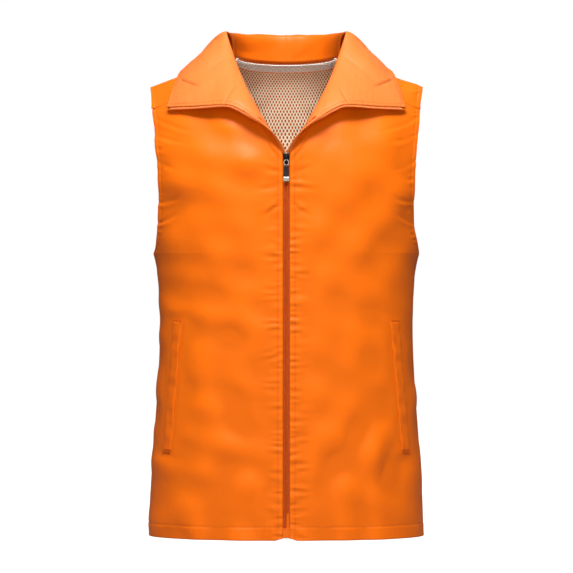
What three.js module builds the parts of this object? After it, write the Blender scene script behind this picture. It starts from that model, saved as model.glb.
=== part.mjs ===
// Blaze orange zip vest, standing on its hem as it hangs on a form, with the collar folded open.
// Millimetres, +Z up, front towards -Y, the wearer's left towards +X, hem at Z = 0.
import * as THREE from "three";

// ---- Body of the vest ----
// Heights above the waist are drops from the neck side, so a longer vest grows below its armholes.
const NECK_SIDE_Z = 680; // where the shoulder meets the neck
const NECK_SIDE_X = 75;
const NECK_SIDE_Y = 8;
const SHOULDER_TIP_Z = NECK_SIDE_Z - 45;
const SHOULDER_TIP_X = 193;
const UNDERARM_Z = NECK_SIDE_Z - 281;
const UNDERARM_X = 189;
const WAIST_Z = 300;
const WAIST_X = 179.5;
const HEM_X = 194.5;
const CHEST_FULL_Z = NECK_SIDE_Z - 145; // height at which the section has grown to its full width
const CHEST_FULL_X = 207; // half width of that section, which the armholes cut into
const FRONT_DEPTH = 125;
const BACK_DEPTH = 130;
const SECTION_POWER = 2.3; // superellipse power of the body's level sections
const FRONT_ARMHOLE_X = 179.5; // narrowest half width of the front between the armholes
const BACK_ARMHOLE_X = 183;
const ARMHOLE_TOE = 60; // height over which the armhole turns out to the side seam
const ARMHOLE_HEEL_Z = NECK_SIDE_Z - 200; // height from which the armhole runs out to the shoulder tip
const V_POINT_Z = NECK_SIDE_Z - 144; // top of the closed zip
const NAPE_Y = 80;
const NAPE_Z = NECK_SIDE_Z - 4;
const NECK_CROSS_Z = NECK_SIDE_Z - 28; // where the neckline seam crosses the roll line
const BACK_SHOULDER_DROP = 190;
const RIDGE_POWER = 0.7; // how sharply the cloth turns over the shoulder

// ---- Cloth layers, measured inwards from the outer face ----
const SHELL = 1.4;
const LAYER_GAP = 0.35;
const MIDDLE_LAYER = 1.1; // pocket bags and armhole facings
const ZIP_TAPE = 0.8;
const LINING_DEPTH = SHELL + MIDDLE_LAYER + 2 * LAYER_GAP;
const LINING = 1;
const NECK_TAPE_DEPTH = LINING_DEPTH + LINING + LAYER_GAP;
const SEAM_GAP = 0.4;
const LINING_HEM_Z = 16;
const NECK_TAPE_ROWS = 2;

// ---- Collar and lapels ----
const STAND_HEIGHT = 33; // the collar's fold above the neck side, at the corner of the roll line
const CORNER_OUT = 10.5; // that corner beyond the neck side
const CORNER_FORWARD = 13;
const NAPE_FOLD_OUT = 5; // the fold behind the nape
const NAPE_FOLD_RISE = 38;
const FALL_NAPE_DROP = 21; // the fall's edge below the nape
const FALL_NAPE_STANDOFF = 21.3; // and off the back panel
const FALL_SHOULDER_X = 150; // where the fall's edge crosses the shoulder
const FALL_SHOULDER_Y = 5;
const FALL_SHOULDER_DROP = 23;
const FALL_SPLIT_DEG = 70; // the wings start here along the fall's edge, and at the corner along the fold
const COLLAR_LAYER = 1.2;
const COLLAR_CORE_GAP = 0.25; // half the space between top collar and under collar
const COLLAR_SEAT = 0.6; // collar stand above the neckline edge
const ROLL_BOW = 10.5;
const LAPEL_START_Z = NECK_SIDE_Z - 96; // lowest point of the rigid wing on the roll line
// Points on the wing's edge: half width, drop below the neck side, distance in front of the front panel.
const LAPEL_START_EDGE = { x: 46, drop: 88, standoff: 19.5 };
const LAPEL_NOTCH = { x: 84, drop: 69, standoff: 25.4 };
const COLLAR_EDGE_MIDDLE = { x: 126, drop: 71, standoff: 16.5 };
const COLLAR_TIP = { x: 167, drop: 72, standoff: 10.5 };
const COLLAR_SIDE_MIDDLE = { x: 158, drop: 45, standoff: 10.1 };
const WING_GAP = 0.9; // each side of the cut between wing and collar back
const ROLL_STANDOFF = 2.4; // wing root in front of the front panel's rolled edge

// ---- Zip ----
const ZIP_BOTTOM_Z = 4;
const RETAINER_TOP_Z = 17;
const PIN_TOP_Z = 38;
const PIN_WIDTH = 2;
const PIN_THICK = 1.8;
const PANEL_EDGE_X = 5.2; // half the slot between the two front edges
const COIL_INNER_X = 0.9;
const COIL_WIDTH = 3;
const COIL_THICK = 2.2;
const COIL_FACE = 0.4; // coil stands this proud of the panels
const TAPE_TURN = 8; // height over which the tape narrows, to pass out of the slot above the slider
const ZIP_SPANS = 9; // lengths that the closed chain is drawn in
const TAPE_INNER_X = 1;
const TAPE_OUTER_X = 16;
const WING_TAPE_WIDTH = 9;
const FACING_INNER_X = 6.5;
const STOP_LENGTH = 5;
const RETAINER_FACE = 1; // retainer box proud of the coil

// ---- Slider and pull ----
const SLIDER_LENGTH = 14;
const SLIDER_WIDTH = 9.4;
const SLIDER_PLATE = 1.5;
const SLIDER_BACK_PLATE = 1.1;
const SLIDER_BEVEL = 0.5;
const SLIDER_WEB = 0.8;
const RUNNING_GAP = 0.3;
const BRIDGE_WIDTH = 2;
const BRIDGE_BAR = 1.2;
const BRIDGE_FOOT = 1.9;
const BRIDGE_LENGTH = 10;
const BRIDGE_SLOPE = 0.6;
const BRIDGE_DROP = 2; // below the top of the slider
const EYE_BAR = 1.4;
const EYE_THICK = 1.3;
const EYE_WIDTH = 8.2;
const EYE_LENGTH = 8.7;
const EYE_ARM = 1.5;
const EYE_CORNER = 1.2;
const EYE_HOLE_CORNER = 0.6;
const GRIP_WIDTH = 7.8;
const GRIP_LENGTH = 15;
const GRIP_THICK = 2.2;
const GRIP_CORNER = 1;
const TIP_WIDTH = 8.9;
const TIP_LENGTH = 6;
const TIP_THICK = 2.4;
const TIP_CORNER = 1.2;

// ---- Pockets ----
const WELT_TOP_Z = 302;
const WELT_BOTTOM_Z = 123;
const WELT_TOP_X = 152;
const WELT_BOTTOM_X = 167;
const WELT_WIDTH = 18;
const WELT_THICK = 1.2;
const WELT_STANDOFF = 0.7;
const TACK_LENGTH = 2.5;
const TACK_GAP = 0.6;

const SIDES = [
  ["left", 1],
  ["right", -1],
];

// ---- Materials ----
const finish = (color, roughness, metalness = 0) =>
  new THREE.MeshStandardMaterial({ color, roughness, metalness, side: THREE.DoubleSide });
const shellCloth = finish(0xf97a10, 0.8);
const facingCloth = finish(0xff8f38, 0.8);
const liningMesh = finish(0xf2e6d8, 0.9);
const zipCoil = finish(0xe86a08, 0.55);
const zipTape = finish(0xd96003, 0.85);
const blackMetal = finish(0x17171a, 0.45, 0.6);
const brightMetal = finish(0xb9bcc0, 0.3, 1);
const blackGrip = finish(0x141416, 0.6);
const tackThread = finish(0xd85f00, 0.85);

const vest = new THREE.Group();
vest.name = "blaze_orange_vest";

function addMesh(parent, name, geometry, material) {
  const mesh = new THREE.Mesh(geometry, material);
  mesh.name = name;
  parent.add(mesh);
  return mesh;
}

// ---- Small maths ----
const { lerp, clamp, degToRad } = THREE.MathUtils;
const ramp = (x, low, high) => clamp((x - low) / (high - low), 0, 1);
const ease = (t) => t * t * (3 - 2 * t);
const steps = (count) => Array.from({ length: count + 1 }, (_, i) => i / count);

// ---- Level sections and edges of the body ----
function halfWidth(z) {
  if (z <= WAIST_Z) return lerp(HEM_X, WAIST_X, ease(z / WAIST_Z));
  if (z <= UNDERARM_Z) return lerp(WAIST_X, UNDERARM_X, ramp(z, WAIST_Z, UNDERARM_Z) ** 3);
  return lerp(UNDERARM_X, CHEST_FULL_X, ease(ramp(z, UNDERARM_Z, CHEST_FULL_Z)));
}

function armholeX(z, narrowest) {
  const toe = (UNDERARM_X - narrowest) * (1 - ramp(z, UNDERARM_Z, UNDERARM_Z + ARMHOLE_TOE)) ** 3;
  const heel = (SHOULDER_TIP_X - narrowest) * ramp(z, ARMHOLE_HEEL_Z, SHOULDER_TIP_Z) ** 1.5;
  return narrowest + toe + heel;
}

const pastNeck = (x) => ramp(x, NECK_SIDE_X, SHOULDER_TIP_X);
const ridgeZ = (x) => lerp(NECK_SIDE_Z, SHOULDER_TIP_Z, pastNeck(x));
const ridgeY = (x) => lerp(NECK_SIDE_Y, 0, pastNeck(x));

// Share of the full depth that the cloth has reached at a drop below the shoulder ridge.
function overShoulder(drop, reach) {
  const t = clamp(drop / reach, 0, 1);
  return (1 - (1 - t) ** 2) ** RIDGE_POWER;
}

function fullDepth(x, z, depth) {
  const share = clamp(x / halfWidth(z), 0, 1);
  return depth * (1 - share ** SECTION_POWER) ** (1 / SECTION_POWER);
}

function frontY(x, z) {
  const drop = ridgeZ(x) - z;
  const out = overShoulder(drop, NECK_SIDE_Z - V_POINT_Z);
  return ridgeY(x) - (ridgeY(x) + fullDepth(x, z, FRONT_DEPTH)) * out;
}

function backTopY(x) {
  if (x >= NECK_SIDE_X) return ridgeY(x);
  return NECK_SIDE_Y + (NAPE_Y - NECK_SIDE_Y) * Math.sqrt(1 - (x / NECK_SIDE_X) ** 2);
}

function backTopZ(x) {
  if (x >= NECK_SIDE_X) return ridgeZ(x);
  return lerp(NAPE_Z, NECK_SIDE_Z, (x / NECK_SIDE_X) ** 2);
}

function backY(x, z) {
  const out = overShoulder(backTopZ(x) - z, BACK_SHOULDER_DROP);
  return backTopY(x) + (fullDepth(x, z, BACK_DEPTH) - backTopY(x)) * out;
}

// ---- Points of the collar that follow the body ----
const cornerY = NECK_SIDE_Y - CORNER_FORWARD;
const COLLAR_CORNER = new THREE.Vector3(NECK_SIDE_X + CORNER_OUT, cornerY, NECK_SIDE_Z + STAND_HEIGHT);
const COLLAR_FOLD_NAPE = new THREE.Vector3(0, NAPE_Y + NAPE_FOLD_OUT, NAPE_Z + NAPE_FOLD_RISE);
const fallNapeZ = NAPE_Z - FALL_NAPE_DROP;
const FALL_EDGE_NAPE = new THREE.Vector3(0, backY(0, fallNapeZ) + FALL_NAPE_STANDOFF, fallNapeZ);
const FALL_EDGE_SHOULDER = new THREE.Vector3(
  FALL_SHOULDER_X, FALL_SHOULDER_Y, NECK_SIDE_Z - FALL_SHOULDER_DROP,
);
const overFront = ({ x, drop, standoff }) => {
  const z = NECK_SIDE_Z - drop;
  return new THREE.Vector3(x, frontY(x, z) - standoff, z);
};
const lapelStart = overFront(LAPEL_START_EDGE);
const lapelNotch = overFront(LAPEL_NOTCH);

// ---- Roll line, on the wearer's left, from the top of the closed zip to the collar corner ----
function rollX(z) {
  const t = ramp(z, V_POINT_Z, COLLAR_CORNER.z);
  return lerp(0, COLLAR_CORNER.x, t) + ROLL_BOW * 4 * t * (1 - t);
}

function rollPoint(z) {
  const x = Math.max(rollX(z), PANEL_EDGE_X);
  const crossX = rollX(NECK_CROSS_Z);
  const y =
    z <= NECK_CROSS_Z
      ? frontY(x, z)
      : lerp(frontY(crossX, NECK_CROSS_Z), COLLAR_CORNER.y, ramp(z, NECK_CROSS_Z, COLLAR_CORNER.z));
  return new THREE.Vector3(x, y, z);
}

function frontInnerX(z) {
  if (z <= V_POINT_Z) return PANEL_EDGE_X;
  if (z <= NECK_CROSS_Z) return Math.max(PANEL_EDGE_X, rollX(z));
  return lerp(rollX(NECK_CROSS_Z), NECK_SIDE_X, ramp(z, NECK_CROSS_Z, NECK_SIDE_Z));
}

// ---- Shared grids: every layer of the body uses the same columns and rows ----
const LOW_ROWS = steps(9).map((t) => t * UNDERARM_Z);
const HIGH_ROWS = [0.07, 0.15, 0.25, 0.375, 0.5, 0.62, 0.74, 0.86, 0.93, 0.975, 1];
const ROWS = [...LOW_ROWS.map((z) => ({ z })), ...HIGH_ROWS.map((rise) => ({ rise }))];
const UNDERARM_ROW = LOW_ROWS.length - 1;
const YOKE_ROW = UNDERARM_ROW + HIGH_ROWS.indexOf(0.86) + 1;
const TOP_ROW = ROWS.length - 1;
const V_RISE = 0.375;
const FRONT_COLUMNS = [0, 0.13, 0.26, 0.38, 0.5, 0.61, 0.72, 0.81, 0.89, 0.95, 1];
const BACK_ANGLES = [0, 0.13, 0.25, 0.35, 0.44, 0.53, 0.63, 0.74, 0.84, 0.93, 1];
const NECK_SHARE = NECK_SIDE_X / SHOULDER_TIP_X;
const NECK_COLUMNS = 4;
const BACK_TOP = BACK_ANGLES.map((_, i) =>
  i <= NECK_COLUMNS
    ? NECK_SHARE * Math.sin((i / NECK_COLUMNS) * (Math.PI / 2))
    : lerp(NECK_SHARE, 1, (i - NECK_COLUMNS) / (BACK_ANGLES.length - 1 - NECK_COLUMNS)),
);

const shareOfAngle = (angle) => Math.sin(angle) ** (2 / SECTION_POWER);
const angleOfShare = (share) => Math.asin(clamp(share, 0, 1) ** (SECTION_POWER / 2));

function frontNode(column, row) {
  const innerZ =
    row.rise === undefined
      ? row.z
      : row.rise <= V_RISE
        ? lerp(UNDERARM_Z, V_POINT_Z, row.rise / V_RISE)
        : lerp(V_POINT_Z, NECK_SIDE_Z, (row.rise - V_RISE) / (1 - V_RISE));
  const outerZ = row.rise === undefined ? row.z : lerp(UNDERARM_Z, SHOULDER_TIP_Z, row.rise);
  const innerX = frontInnerX(innerZ);
  const outerX = row.rise === undefined ? halfWidth(row.z) : armholeX(outerZ, FRONT_ARMHOLE_X);
  const low = angleOfShare(innerX / halfWidth(innerZ));
  const high = angleOfShare(outerX / halfWidth(outerZ));
  const reached = shareOfAngle(lerp(low, high, column)) - shareOfAngle(low);
  const spread = reached / (shareOfAngle(high) - shareOfAngle(low));
  const x = lerp(innerX, outerX, spread);
  const z = lerp(innerZ, outerZ, spread);
  const y = row.rise === 1 ? ridgeY(x) : frontY(x, z);
  return new THREE.Vector3(x, y, z);
}

function backNode(index, row) {
  const rise = row.rise ?? 0;
  const outerZ = row.rise === undefined ? row.z : lerp(UNDERARM_Z, SHOULDER_TIP_Z, rise);
  const outerX = row.rise === undefined ? halfWidth(row.z) : armholeX(outerZ, BACK_ARMHOLE_X);
  const high = angleOfShare(outerX / halfWidth(outerZ));
  const level = shareOfAngle(high * BACK_ANGLES[index]) / shareOfAngle(high);
  const x = outerX * lerp(level, BACK_TOP[index], ease(rise));
  const z = row.rise === undefined ? row.z : lerp(UNDERARM_Z, backTopZ(x), rise);
  return new THREE.Vector3(x, rise === 1 ? backTopY(x) : backY(x, z), z);
}

// Outward normals of a grid from its neighbours; front grids and back grids turn opposite ways.
function gridNormals(nodes, facing) {
  const last = nodes.length - 1;
  return nodes.map((column, i) =>
    column.map((_, j) => {
      const across = nodes[Math.min(i + 1, last)][j].clone().sub(nodes[Math.max(i - 1, 0)][j]);
      const up = column[Math.min(j + 1, column.length - 1)].clone().sub(column[Math.max(j - 1, 0)]);
      return across.cross(up).multiplyScalar(facing).normalize();
    }),
  );
}

// Level normals below the underarm, square normals at the side seams and along the shoulder ridge,
// so that the layers of front and back meet face to face.
function settleNormals(normals) {
  const ridge = new THREE.Vector3(
    NECK_SIDE_Z - SHOULDER_TIP_Z, 0, SHOULDER_TIP_X - NECK_SIDE_X,
  ).normalize();
  normals.forEach((column, i) =>
    column.forEach((normal, j) => {
      if (j <= UNDERARM_ROW) {
        normal.z = 0;
        if (i === normals.length - 1) normal.set(1, 0, 0);
      }
      if (j === TOP_ROW && i >= normals.ridgeFrom) normal.copy(ridge);
      if (i === 0 && normals.centred) normal.x = 0;
      normal.normalize();
    }),
  );
}

const frontGrid = FRONT_COLUMNS.map((column) => ROWS.map((row) => frontNode(column, row)));
const frontNormals = gridNormals(frontGrid, 1);
frontNormals.ridgeFrom = 0;
settleNormals(frontNormals);
const backGrid = BACK_ANGLES.map((_, i) => ROWS.map((row) => backNode(i, row)));
const backNormals = gridNormals(backGrid, -1);
backNormals.ridgeFrom = NECK_COLUMNS;
backNormals.centred = true;
settleNormals(backNormals);

// ---- Sheets: closed solids between two offsets of a grid of nodes ----
const flipX = (v, side) => new THREE.Vector3(v.x * side, v.y, v.z);

// A patch of a grid: columns and rows are inclusive index pairs, side mirrors it.
function patch(grid, normals, columns, rows, side = 1) {
  const cut = (table) =>
    table
      .slice(columns[0], columns[1] + 1)
      .map((column) => column.slice(rows[0], rows[1] + 1).map((v) => flipX(v, side)));
  return { nodes: cut(grid), normals: cut(normals) };
}

// The patch on both sides of the centre column, joined into one.
function wholeWidth(grid, normals, column, rows) {
  const left = patch(grid, normals, [0, column], rows, 1);
  const right = patch(grid, normals, [1, column], rows, -1);
  return {
    nodes: [...right.nodes.reverse(), ...left.nodes],
    normals: [...right.normals.reverse(), ...left.normals],
    centre: column,
  };
}

// Draws the named edges of a sheet back by a distance, so that it stops short of its neighbour.
function trimmed(sheet, edges, distance = SEAM_GAP / 2) {
  const nodes = sheet.nodes.map((column) => column.map((v) => v.clone()));
  const columns = nodes.length - 1;
  const rows = nodes[0].length - 1;
  const pull = (i, j, towardsI, towardsJ) => {
    const step = nodes[towardsI][towardsJ].clone().sub(nodes[i][j]).setLength(distance);
    nodes[i][j].add(step);
  };
  for (let j = 0; j <= rows; j++) {
    if (edges.includes("inner")) pull(0, j, 1, j);
    if (edges.includes("outer")) pull(columns, j, columns - 1, j);
  }
  for (let i = 0; i <= columns; i++) {
    if (edges.includes("bottom")) pull(i, 0, i, 1);
    if (edges.includes("top")) pull(i, rows, i, rows - 1);
  }
  return { ...sheet, nodes };
}

// The closed solid between depths near and far behind the sheet; negative depths are in front of it.
// Columns before the centre one are a mirror image, so their quads are split along the other diagonal.
function sheetGeometry(sheet, near, far) {
  const { nodes, normals, centre = 0 } = sheet;
  const columns = nodes.length;
  const rows = nodes[0].length;
  const points = [near, far].flatMap((depth) =>
    nodes.flatMap((column, i) => column.map((v, j) => v.clone().addScaledVector(normals[i][j], -depth))),
  );
  const at = (face, i, j) => face * columns * rows + i * rows + j;
  const triangles = [];
  const quad = (a, b, c, d) => triangles.push(a, b, c, a, c, d);
  for (let i = 0; i < columns - 1; i++)
    for (let j = 0; j < rows - 1; j++)
      for (const face of [0, 1]) {
        const corners = [at(face, i, j), at(face, i + 1, j), at(face, i + 1, j + 1), at(face, i, j + 1)];
        if (i < centre) corners.push(corners.shift());
        if (face === 1) corners.splice(1, 3, corners[3], corners[2], corners[1]);
        quad(...corners);
      }
  for (let i = 0; i < columns - 1; i++) {
    quad(at(1, i, 0), at(1, i + 1, 0), at(0, i + 1, 0), at(0, i, 0));
    quad(at(0, i, rows - 1), at(0, i + 1, rows - 1), at(1, i + 1, rows - 1), at(1, i, rows - 1));
  }
  for (let j = 0; j < rows - 1; j++) {
    quad(at(0, 0, j), at(0, 0, j + 1), at(1, 0, j + 1), at(1, 0, j));
    const last = columns - 1;
    quad(at(1, last, j), at(1, last, j + 1), at(0, last, j + 1), at(0, last, j));
  }
  return outwardGeometry(points, triangles);
}

// A geometry whose faces point outwards, whichever way its triangles were listed.
function outwardGeometry(points, triangles) {
  let volume = 0;
  for (let k = 0; k < triangles.length; k += 3) {
    const [a, b, c] = [points[triangles[k]], points[triangles[k + 1]], points[triangles[k + 2]]];
    volume += a.dot(b.clone().cross(c)) / 6;
  }
  if (volume < 0)
    for (let k = 0; k < triangles.length; k += 3)
      [triangles[k + 1], triangles[k + 2]] = [triangles[k + 2], triangles[k + 1]];
  const geometry = new THREE.BufferGeometry().setFromPoints(points);
  geometry.setIndex(triangles);
  geometry.computeVertexNormals();
  return geometry;
}

// ---- Shell panels ----
const LAST = FRONT_COLUMNS.length - 1;
for (const [name, side] of SIDES) {
  const front = patch(frontGrid, frontNormals, [0, LAST], [0, YOKE_ROW], side);
  const frontLow = trimmed(front, ["top", "outer"]);
  addMesh(vest, `front_panel_${name}`, sheetGeometry(frontLow, 0, SHELL), shellCloth);
  const yoke = patch(frontGrid, frontNormals, [0, LAST], [YOKE_ROW, TOP_ROW], side);
  const yokeEdge = trimmed(yoke, ["top", "bottom"]);
  addMesh(vest, `front_yoke_${name}`, sheetGeometry(yokeEdge, 0, SHELL), shellCloth);
}
const backSheet = wholeWidth(backGrid, backNormals, LAST, [0, TOP_ROW]);
const backPanel = trimmed(backSheet, ["inner", "outer", "top"]);
addMesh(vest, "back_panel", sheetGeometry(backPanel, 0, SHELL), shellCloth);

// ---- Facings, tape and lining inside the shell ----
const MIDDLE = [SHELL + LAYER_GAP, SHELL + LAYER_GAP + MIDDLE_LAYER];
const LINING_LAYER = [LINING_DEPTH, LINING_DEPTH + LINING];
const TAPE_LAYER = [NECK_TAPE_DEPTH, NECK_TAPE_DEPTH + LINING];
const FACING_COLUMN = 1;
const ARMHOLE_COLUMN = 7;
const raised = (grid, z) =>
  grid.map((column) => {
    const share = z / column[1].z;
    return [column[0].clone().lerp(column[1], share), ...column.slice(1)];
  });
const liningFrontGrid = raised(frontGrid, LINING_HEM_Z);
const liningBackGrid = raised(backGrid, LINING_HEM_Z);
for (const [name, side] of SIDES) {
  const facing = patch(liningFrontGrid, frontNormals, [0, FACING_COLUMN], [0, YOKE_ROW], side);
  const facingEdge = trimmed(facing, ["outer", "top"]);
  const slot = trimmed(facingEdge, ["inner"], FACING_INNER_X - PANEL_EDGE_X);
  addMesh(vest, `front_facing_${name}`, sheetGeometry(slot, ...LINING_LAYER), facingCloth);
  const lining = patch(liningFrontGrid, frontNormals, [FACING_COLUMN, LAST], [0, TOP_ROW], side);
  const liningEdge = trimmed(lining, ["inner", "outer", "top"]);
  addMesh(vest, `mesh_lining_front_${name}`, sheetGeometry(liningEdge, ...LINING_LAYER), liningMesh);
  for (const [face, grid, normals] of [
    ["front", frontGrid, frontNormals],
    ["back", backGrid, backNormals],
  ]) {
    const strip = patch(grid, normals, [ARMHOLE_COLUMN, LAST], [UNDERARM_ROW, TOP_ROW], side);
    const geometry = sheetGeometry(trimmed(strip, ["top", "outer"]), ...MIDDLE);
    addMesh(vest, `armhole_facing_${face}_${name}`, geometry, facingCloth);
  }
}
const backLining = trimmed(
  wholeWidth(liningBackGrid, backNormals, LAST, [0, TOP_ROW]),
  ["inner", "outer", "top"],
);
addMesh(vest, "mesh_lining_back", sheetGeometry(backLining, ...LINING_LAYER), liningMesh);
const neckTape = trimmed(
  wholeWidth(backGrid, backNormals, NECK_COLUMNS - 1, [TOP_ROW - NECK_TAPE_ROWS, TOP_ROW]),
  ["top"],
);
addMesh(vest, "back_neck_tape", sheetGeometry(neckTape, ...TAPE_LAYER), liningMesh);

// ---- Pockets ----
// A small sheet on the side of the body, between two edges given as half widths at each height.
function sideStrip(heights, edges, side) {
  const shares = [0, 1 / 3, 2 / 3, 1];
  const nodes = shares.map((share) =>
    heights.map((z) => {
      const [inner, outer] = edges.map((edge) => angleOfShare(edge(z) / halfWidth(z)));
      const x = halfWidth(z) * shareOfAngle(lerp(inner, outer, share));
      return new THREE.Vector3(x, frontY(x, z), z);
    }),
  );
  const normals = gridNormals(nodes, 1);
  return patch(nodes, normals, [0, shares.length - 1], [0, heights.length - 1], side);
}

const weltCentreX = (z) => lerp(WELT_BOTTOM_X, WELT_TOP_X, ramp(z, WELT_BOTTOM_Z, WELT_TOP_Z));
// Half the welt's width as seen from the front, where the side of the body turns away.
const weltShare = (z) => {
  const x = weltCentreX(z);
  const slope = (fullDepth(x - 1, z, FRONT_DEPTH) - fullDepth(x + 1, z, FRONT_DEPTH)) / 2;
  return WELT_WIDTH / 2 / Math.hypot(1, slope);
};
const weltEdges = [(z) => weltCentreX(z) - weltShare(z), (z) => weltCentreX(z) + weltShare(z)];
const BAG_COLUMNS = [4, 7];
const BAG_ROWS = [1, 7];
for (const [name, side] of SIDES) {
  const heights = steps(8).map((t) => lerp(WELT_BOTTOM_Z, WELT_TOP_Z, t));
  const front = -WELT_STANDOFF;
  const welt = sideStrip(heights, weltEdges, side);
  addMesh(vest, `pocket_welt_${name}`, sheetGeometry(welt, front - WELT_THICK, front), shellCloth);
  const bag = patch(frontGrid, frontNormals, BAG_COLUMNS, BAG_ROWS, side);
  addMesh(vest, `pocket_bag_${name}`, sheetGeometry(bag, ...MIDDLE), liningMesh);
  for (const [end, base] of [
    ["top", WELT_TOP_Z + TACK_GAP],
    ["bottom", WELT_BOTTOM_Z - TACK_GAP - TACK_LENGTH],
  ]) {
    const tack = sideStrip([base, base + TACK_LENGTH], weltEdges, side);
    addMesh(vest, `pocket_tack_${end}_${name}`, sheetGeometry(tack, front - WELT_THICK, front), tackThread);
  }
}

// ---- Collar: a Bezier section from the neckline up to the fold, and on down to the fall's edge ----
function bezier(points, t) {
  const curve = new THREE.CubicBezierCurve3(...points);
  return curve.getPoint(t);
}

const along = (v, direction, distance) => v.clone().addScaledVector(direction, distance);
const UP = new THREE.Vector3(0, 0, 1);
const STAND_STEPS = [0, 0.3, 0.6, 0.85];
const STAND_LEAN = 14; // how far the stand rises before it leans out to the fold
const FALL_STEPS = [0, 0.1, 0.25, 0.45, 0.7, 1];
const FOLD_REACH = 9; // handles of the section's curve at the fold
const FALL_REACH = 13.5;
const FALL_BULGE = 6;
const EDGE_SHARE = 0.35; // place of the last handle, from the edge towards the fold

function neckPoint(angle) {
  return new THREE.Vector3(
    NECK_SIDE_X * Math.sin(angle),
    lerp(NECK_SIDE_Y, NAPE_Y, Math.cos(angle)),
    lerp(NAPE_Z, NECK_SIDE_Z, Math.sin(angle) ** 2) + COLLAR_SEAT,
  );
}

// Points on quarter ellipses from the nape (angle 0) to the shoulder (angle 90 degrees).
function aroundNeck(nape, shoulder, angle) {
  return new THREE.Vector3(
    shoulder.x * Math.sin(angle),
    lerp(shoulder.y, nape.y, Math.cos(angle)),
    lerp(nape.z, shoulder.z, Math.sin(angle) ** 2),
  );
}

const fallSplit = degToRad(FALL_SPLIT_DEG);
const outwards = (angle) => new THREE.Vector3(Math.sin(angle), Math.cos(angle), 0);

function fallPoint(fold, edge, out, lift, t) {
  const handle = along(edge.clone().lerp(fold, EDGE_SHARE), lift, FALL_BULGE);
  return bezier([fold, along(fold, out, FALL_REACH), handle, edge], t);
}

function collarBackNode(turn, step) {
  const angle = (turn * Math.PI) / 2;
  const side = Math.sign(angle) || 1;
  const a = Math.abs(angle);
  const fold = aroundNeck(COLLAR_FOLD_NAPE, COLLAR_CORNER, a);
  const out = outwards(a);
  let point;
  if (step.stand !== undefined) {
    const base = neckPoint(a);
    const handles = [along(base, UP, STAND_LEAN), along(fold, out, -FOLD_REACH)];
    point = bezier([base, ...handles, fold], step.stand);
  } else {
    const edge = aroundNeck(FALL_EDGE_NAPE, FALL_EDGE_SHOULDER, a * (fallSplit / (Math.PI / 2)));
    const lift = outwards(a).add(UP).normalize();
    point = fallPoint(fold, edge, out, lift, step.fall);
  }
  return flipX(point, side);
}

const collarSteps = [...STAND_STEPS.map((stand) => ({ stand })), ...FALL_STEPS.map((fall) => ({ fall }))];
const turns = [-1, -0.87, -0.72, -0.55, -0.37, -0.18, 0, 0.18, 0.37, 0.55, 0.72, 0.87, 1];
const collarNodes = turns.map((turn) => collarSteps.map((step) => collarBackNode(turn, step)));
const collarBack = { nodes: collarNodes, normals: gridNormals(collarNodes, 1) };
// The section climbs the inside first, so its normals point to the visible side: into the neck, then out.
const visibleSide = collarBack.normals[6][1].y < 0 ? 1 : -1;
collarBack.normals.forEach((column) => column.forEach((n) => n.multiplyScalar(visibleSide)));
const TOP_LAYER = [-COLLAR_CORE_GAP - COLLAR_LAYER, -COLLAR_CORE_GAP];
const UNDER_LAYER = [COLLAR_CORE_GAP, COLLAR_CORE_GAP + COLLAR_LAYER];
const backEnds = trimmed(collarBack, ["inner", "outer"], WING_GAP);
addMesh(vest, "top_collar_back", sheetGeometry(backEnds, ...TOP_LAYER), shellCloth);
addMesh(vest, "under_collar_back", sheetGeometry(backEnds, ...UNDER_LAYER), shellCloth);

// The front end of the stand, a triangle between the neckline and the roll line.
const STAND_END_STEPS = [0.12, 0.35, 0.6, 0.85];
const STAND_END_REACH = [0, 0.5, 0.9];
function standEnd(side) {
  const nodes = STAND_END_STEPS.map((t) => {
    const seamZ = lerp(NECK_SIDE_Z, NECK_CROSS_Z, t);
    const seamX = frontInnerX(seamZ);
    const seam = new THREE.Vector3(seamX, frontY(seamX, seamZ), seamZ + COLLAR_SEAT);
    const roll = rollPoint(lerp(COLLAR_CORNER.z, NECK_CROSS_Z, t));
    return STAND_END_REACH.map((share) => flipX(seam.clone().lerp(roll, share), side));
  });
  return { nodes, normals: gridNormals(nodes, side) };
}
for (const [name, side] of SIDES)
  addMesh(vest, `collar_stand_${name}`, sheetGeometry(standEnd(side), -COLLAR_LAYER, 0), shellCloth);

// ---- Wings: lapel and collar front, folded back over the chest ----
const fallEnd = aroundNeck(FALL_EDGE_NAPE, FALL_EDGE_SHOULDER, fallSplit);
const LAPEL_ROWS = [
  { roll: LAPEL_START_Z, edge: lapelStart, out: [0.2, -1, 0], lift: [0, -2, 0] },
  {
    roll: lerp(LAPEL_START_Z, NECK_CROSS_Z, 0.5),
    edge: lapelStart.clone().lerp(lapelNotch, 0.5),
    out: [0.2, -1, 0],
    lift: [0, -5, 0],
  },
  { roll: NECK_CROSS_Z, edge: lapelNotch, out: [0.3, -1, 0], lift: [0, -9, 0] },
];
const collarRoll = (t) => lerp(NECK_CROSS_Z, COLLAR_CORNER.z, t);
const COLLAR_ROWS = [
  { roll: collarRoll(0), edge: lapelNotch, out: [0.3, -1, 0], lift: [0, -9, 0] },
  { roll: collarRoll(0.2), edge: overFront(COLLAR_EDGE_MIDDLE), out: [0.45, -1, 0.1], lift: [0, -16, 0] },
  { roll: collarRoll(0.42), edge: overFront(COLLAR_TIP), out: [0.6, -0.8, 0.1], lift: [0, -18, 0] },
  { roll: collarRoll(0.6), edge: overFront(COLLAR_SIDE_MIDDLE), out: [0.8, -0.6, 0.1], lift: [2, -12, 4] },
  { roll: collarRoll(0.8), edge: FALL_EDGE_SHOULDER, out: [1, -0.3, 0], lift: [4, -4, 5] },
  { roll: collarRoll(1), edge: fallEnd, out: [1, 0, 0], lift: [4.2, 0, 4.2] },
];
const ACROSS = [0, 0.08, 0.22, 0.42, 0.65, 0.85, 1];

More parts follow.
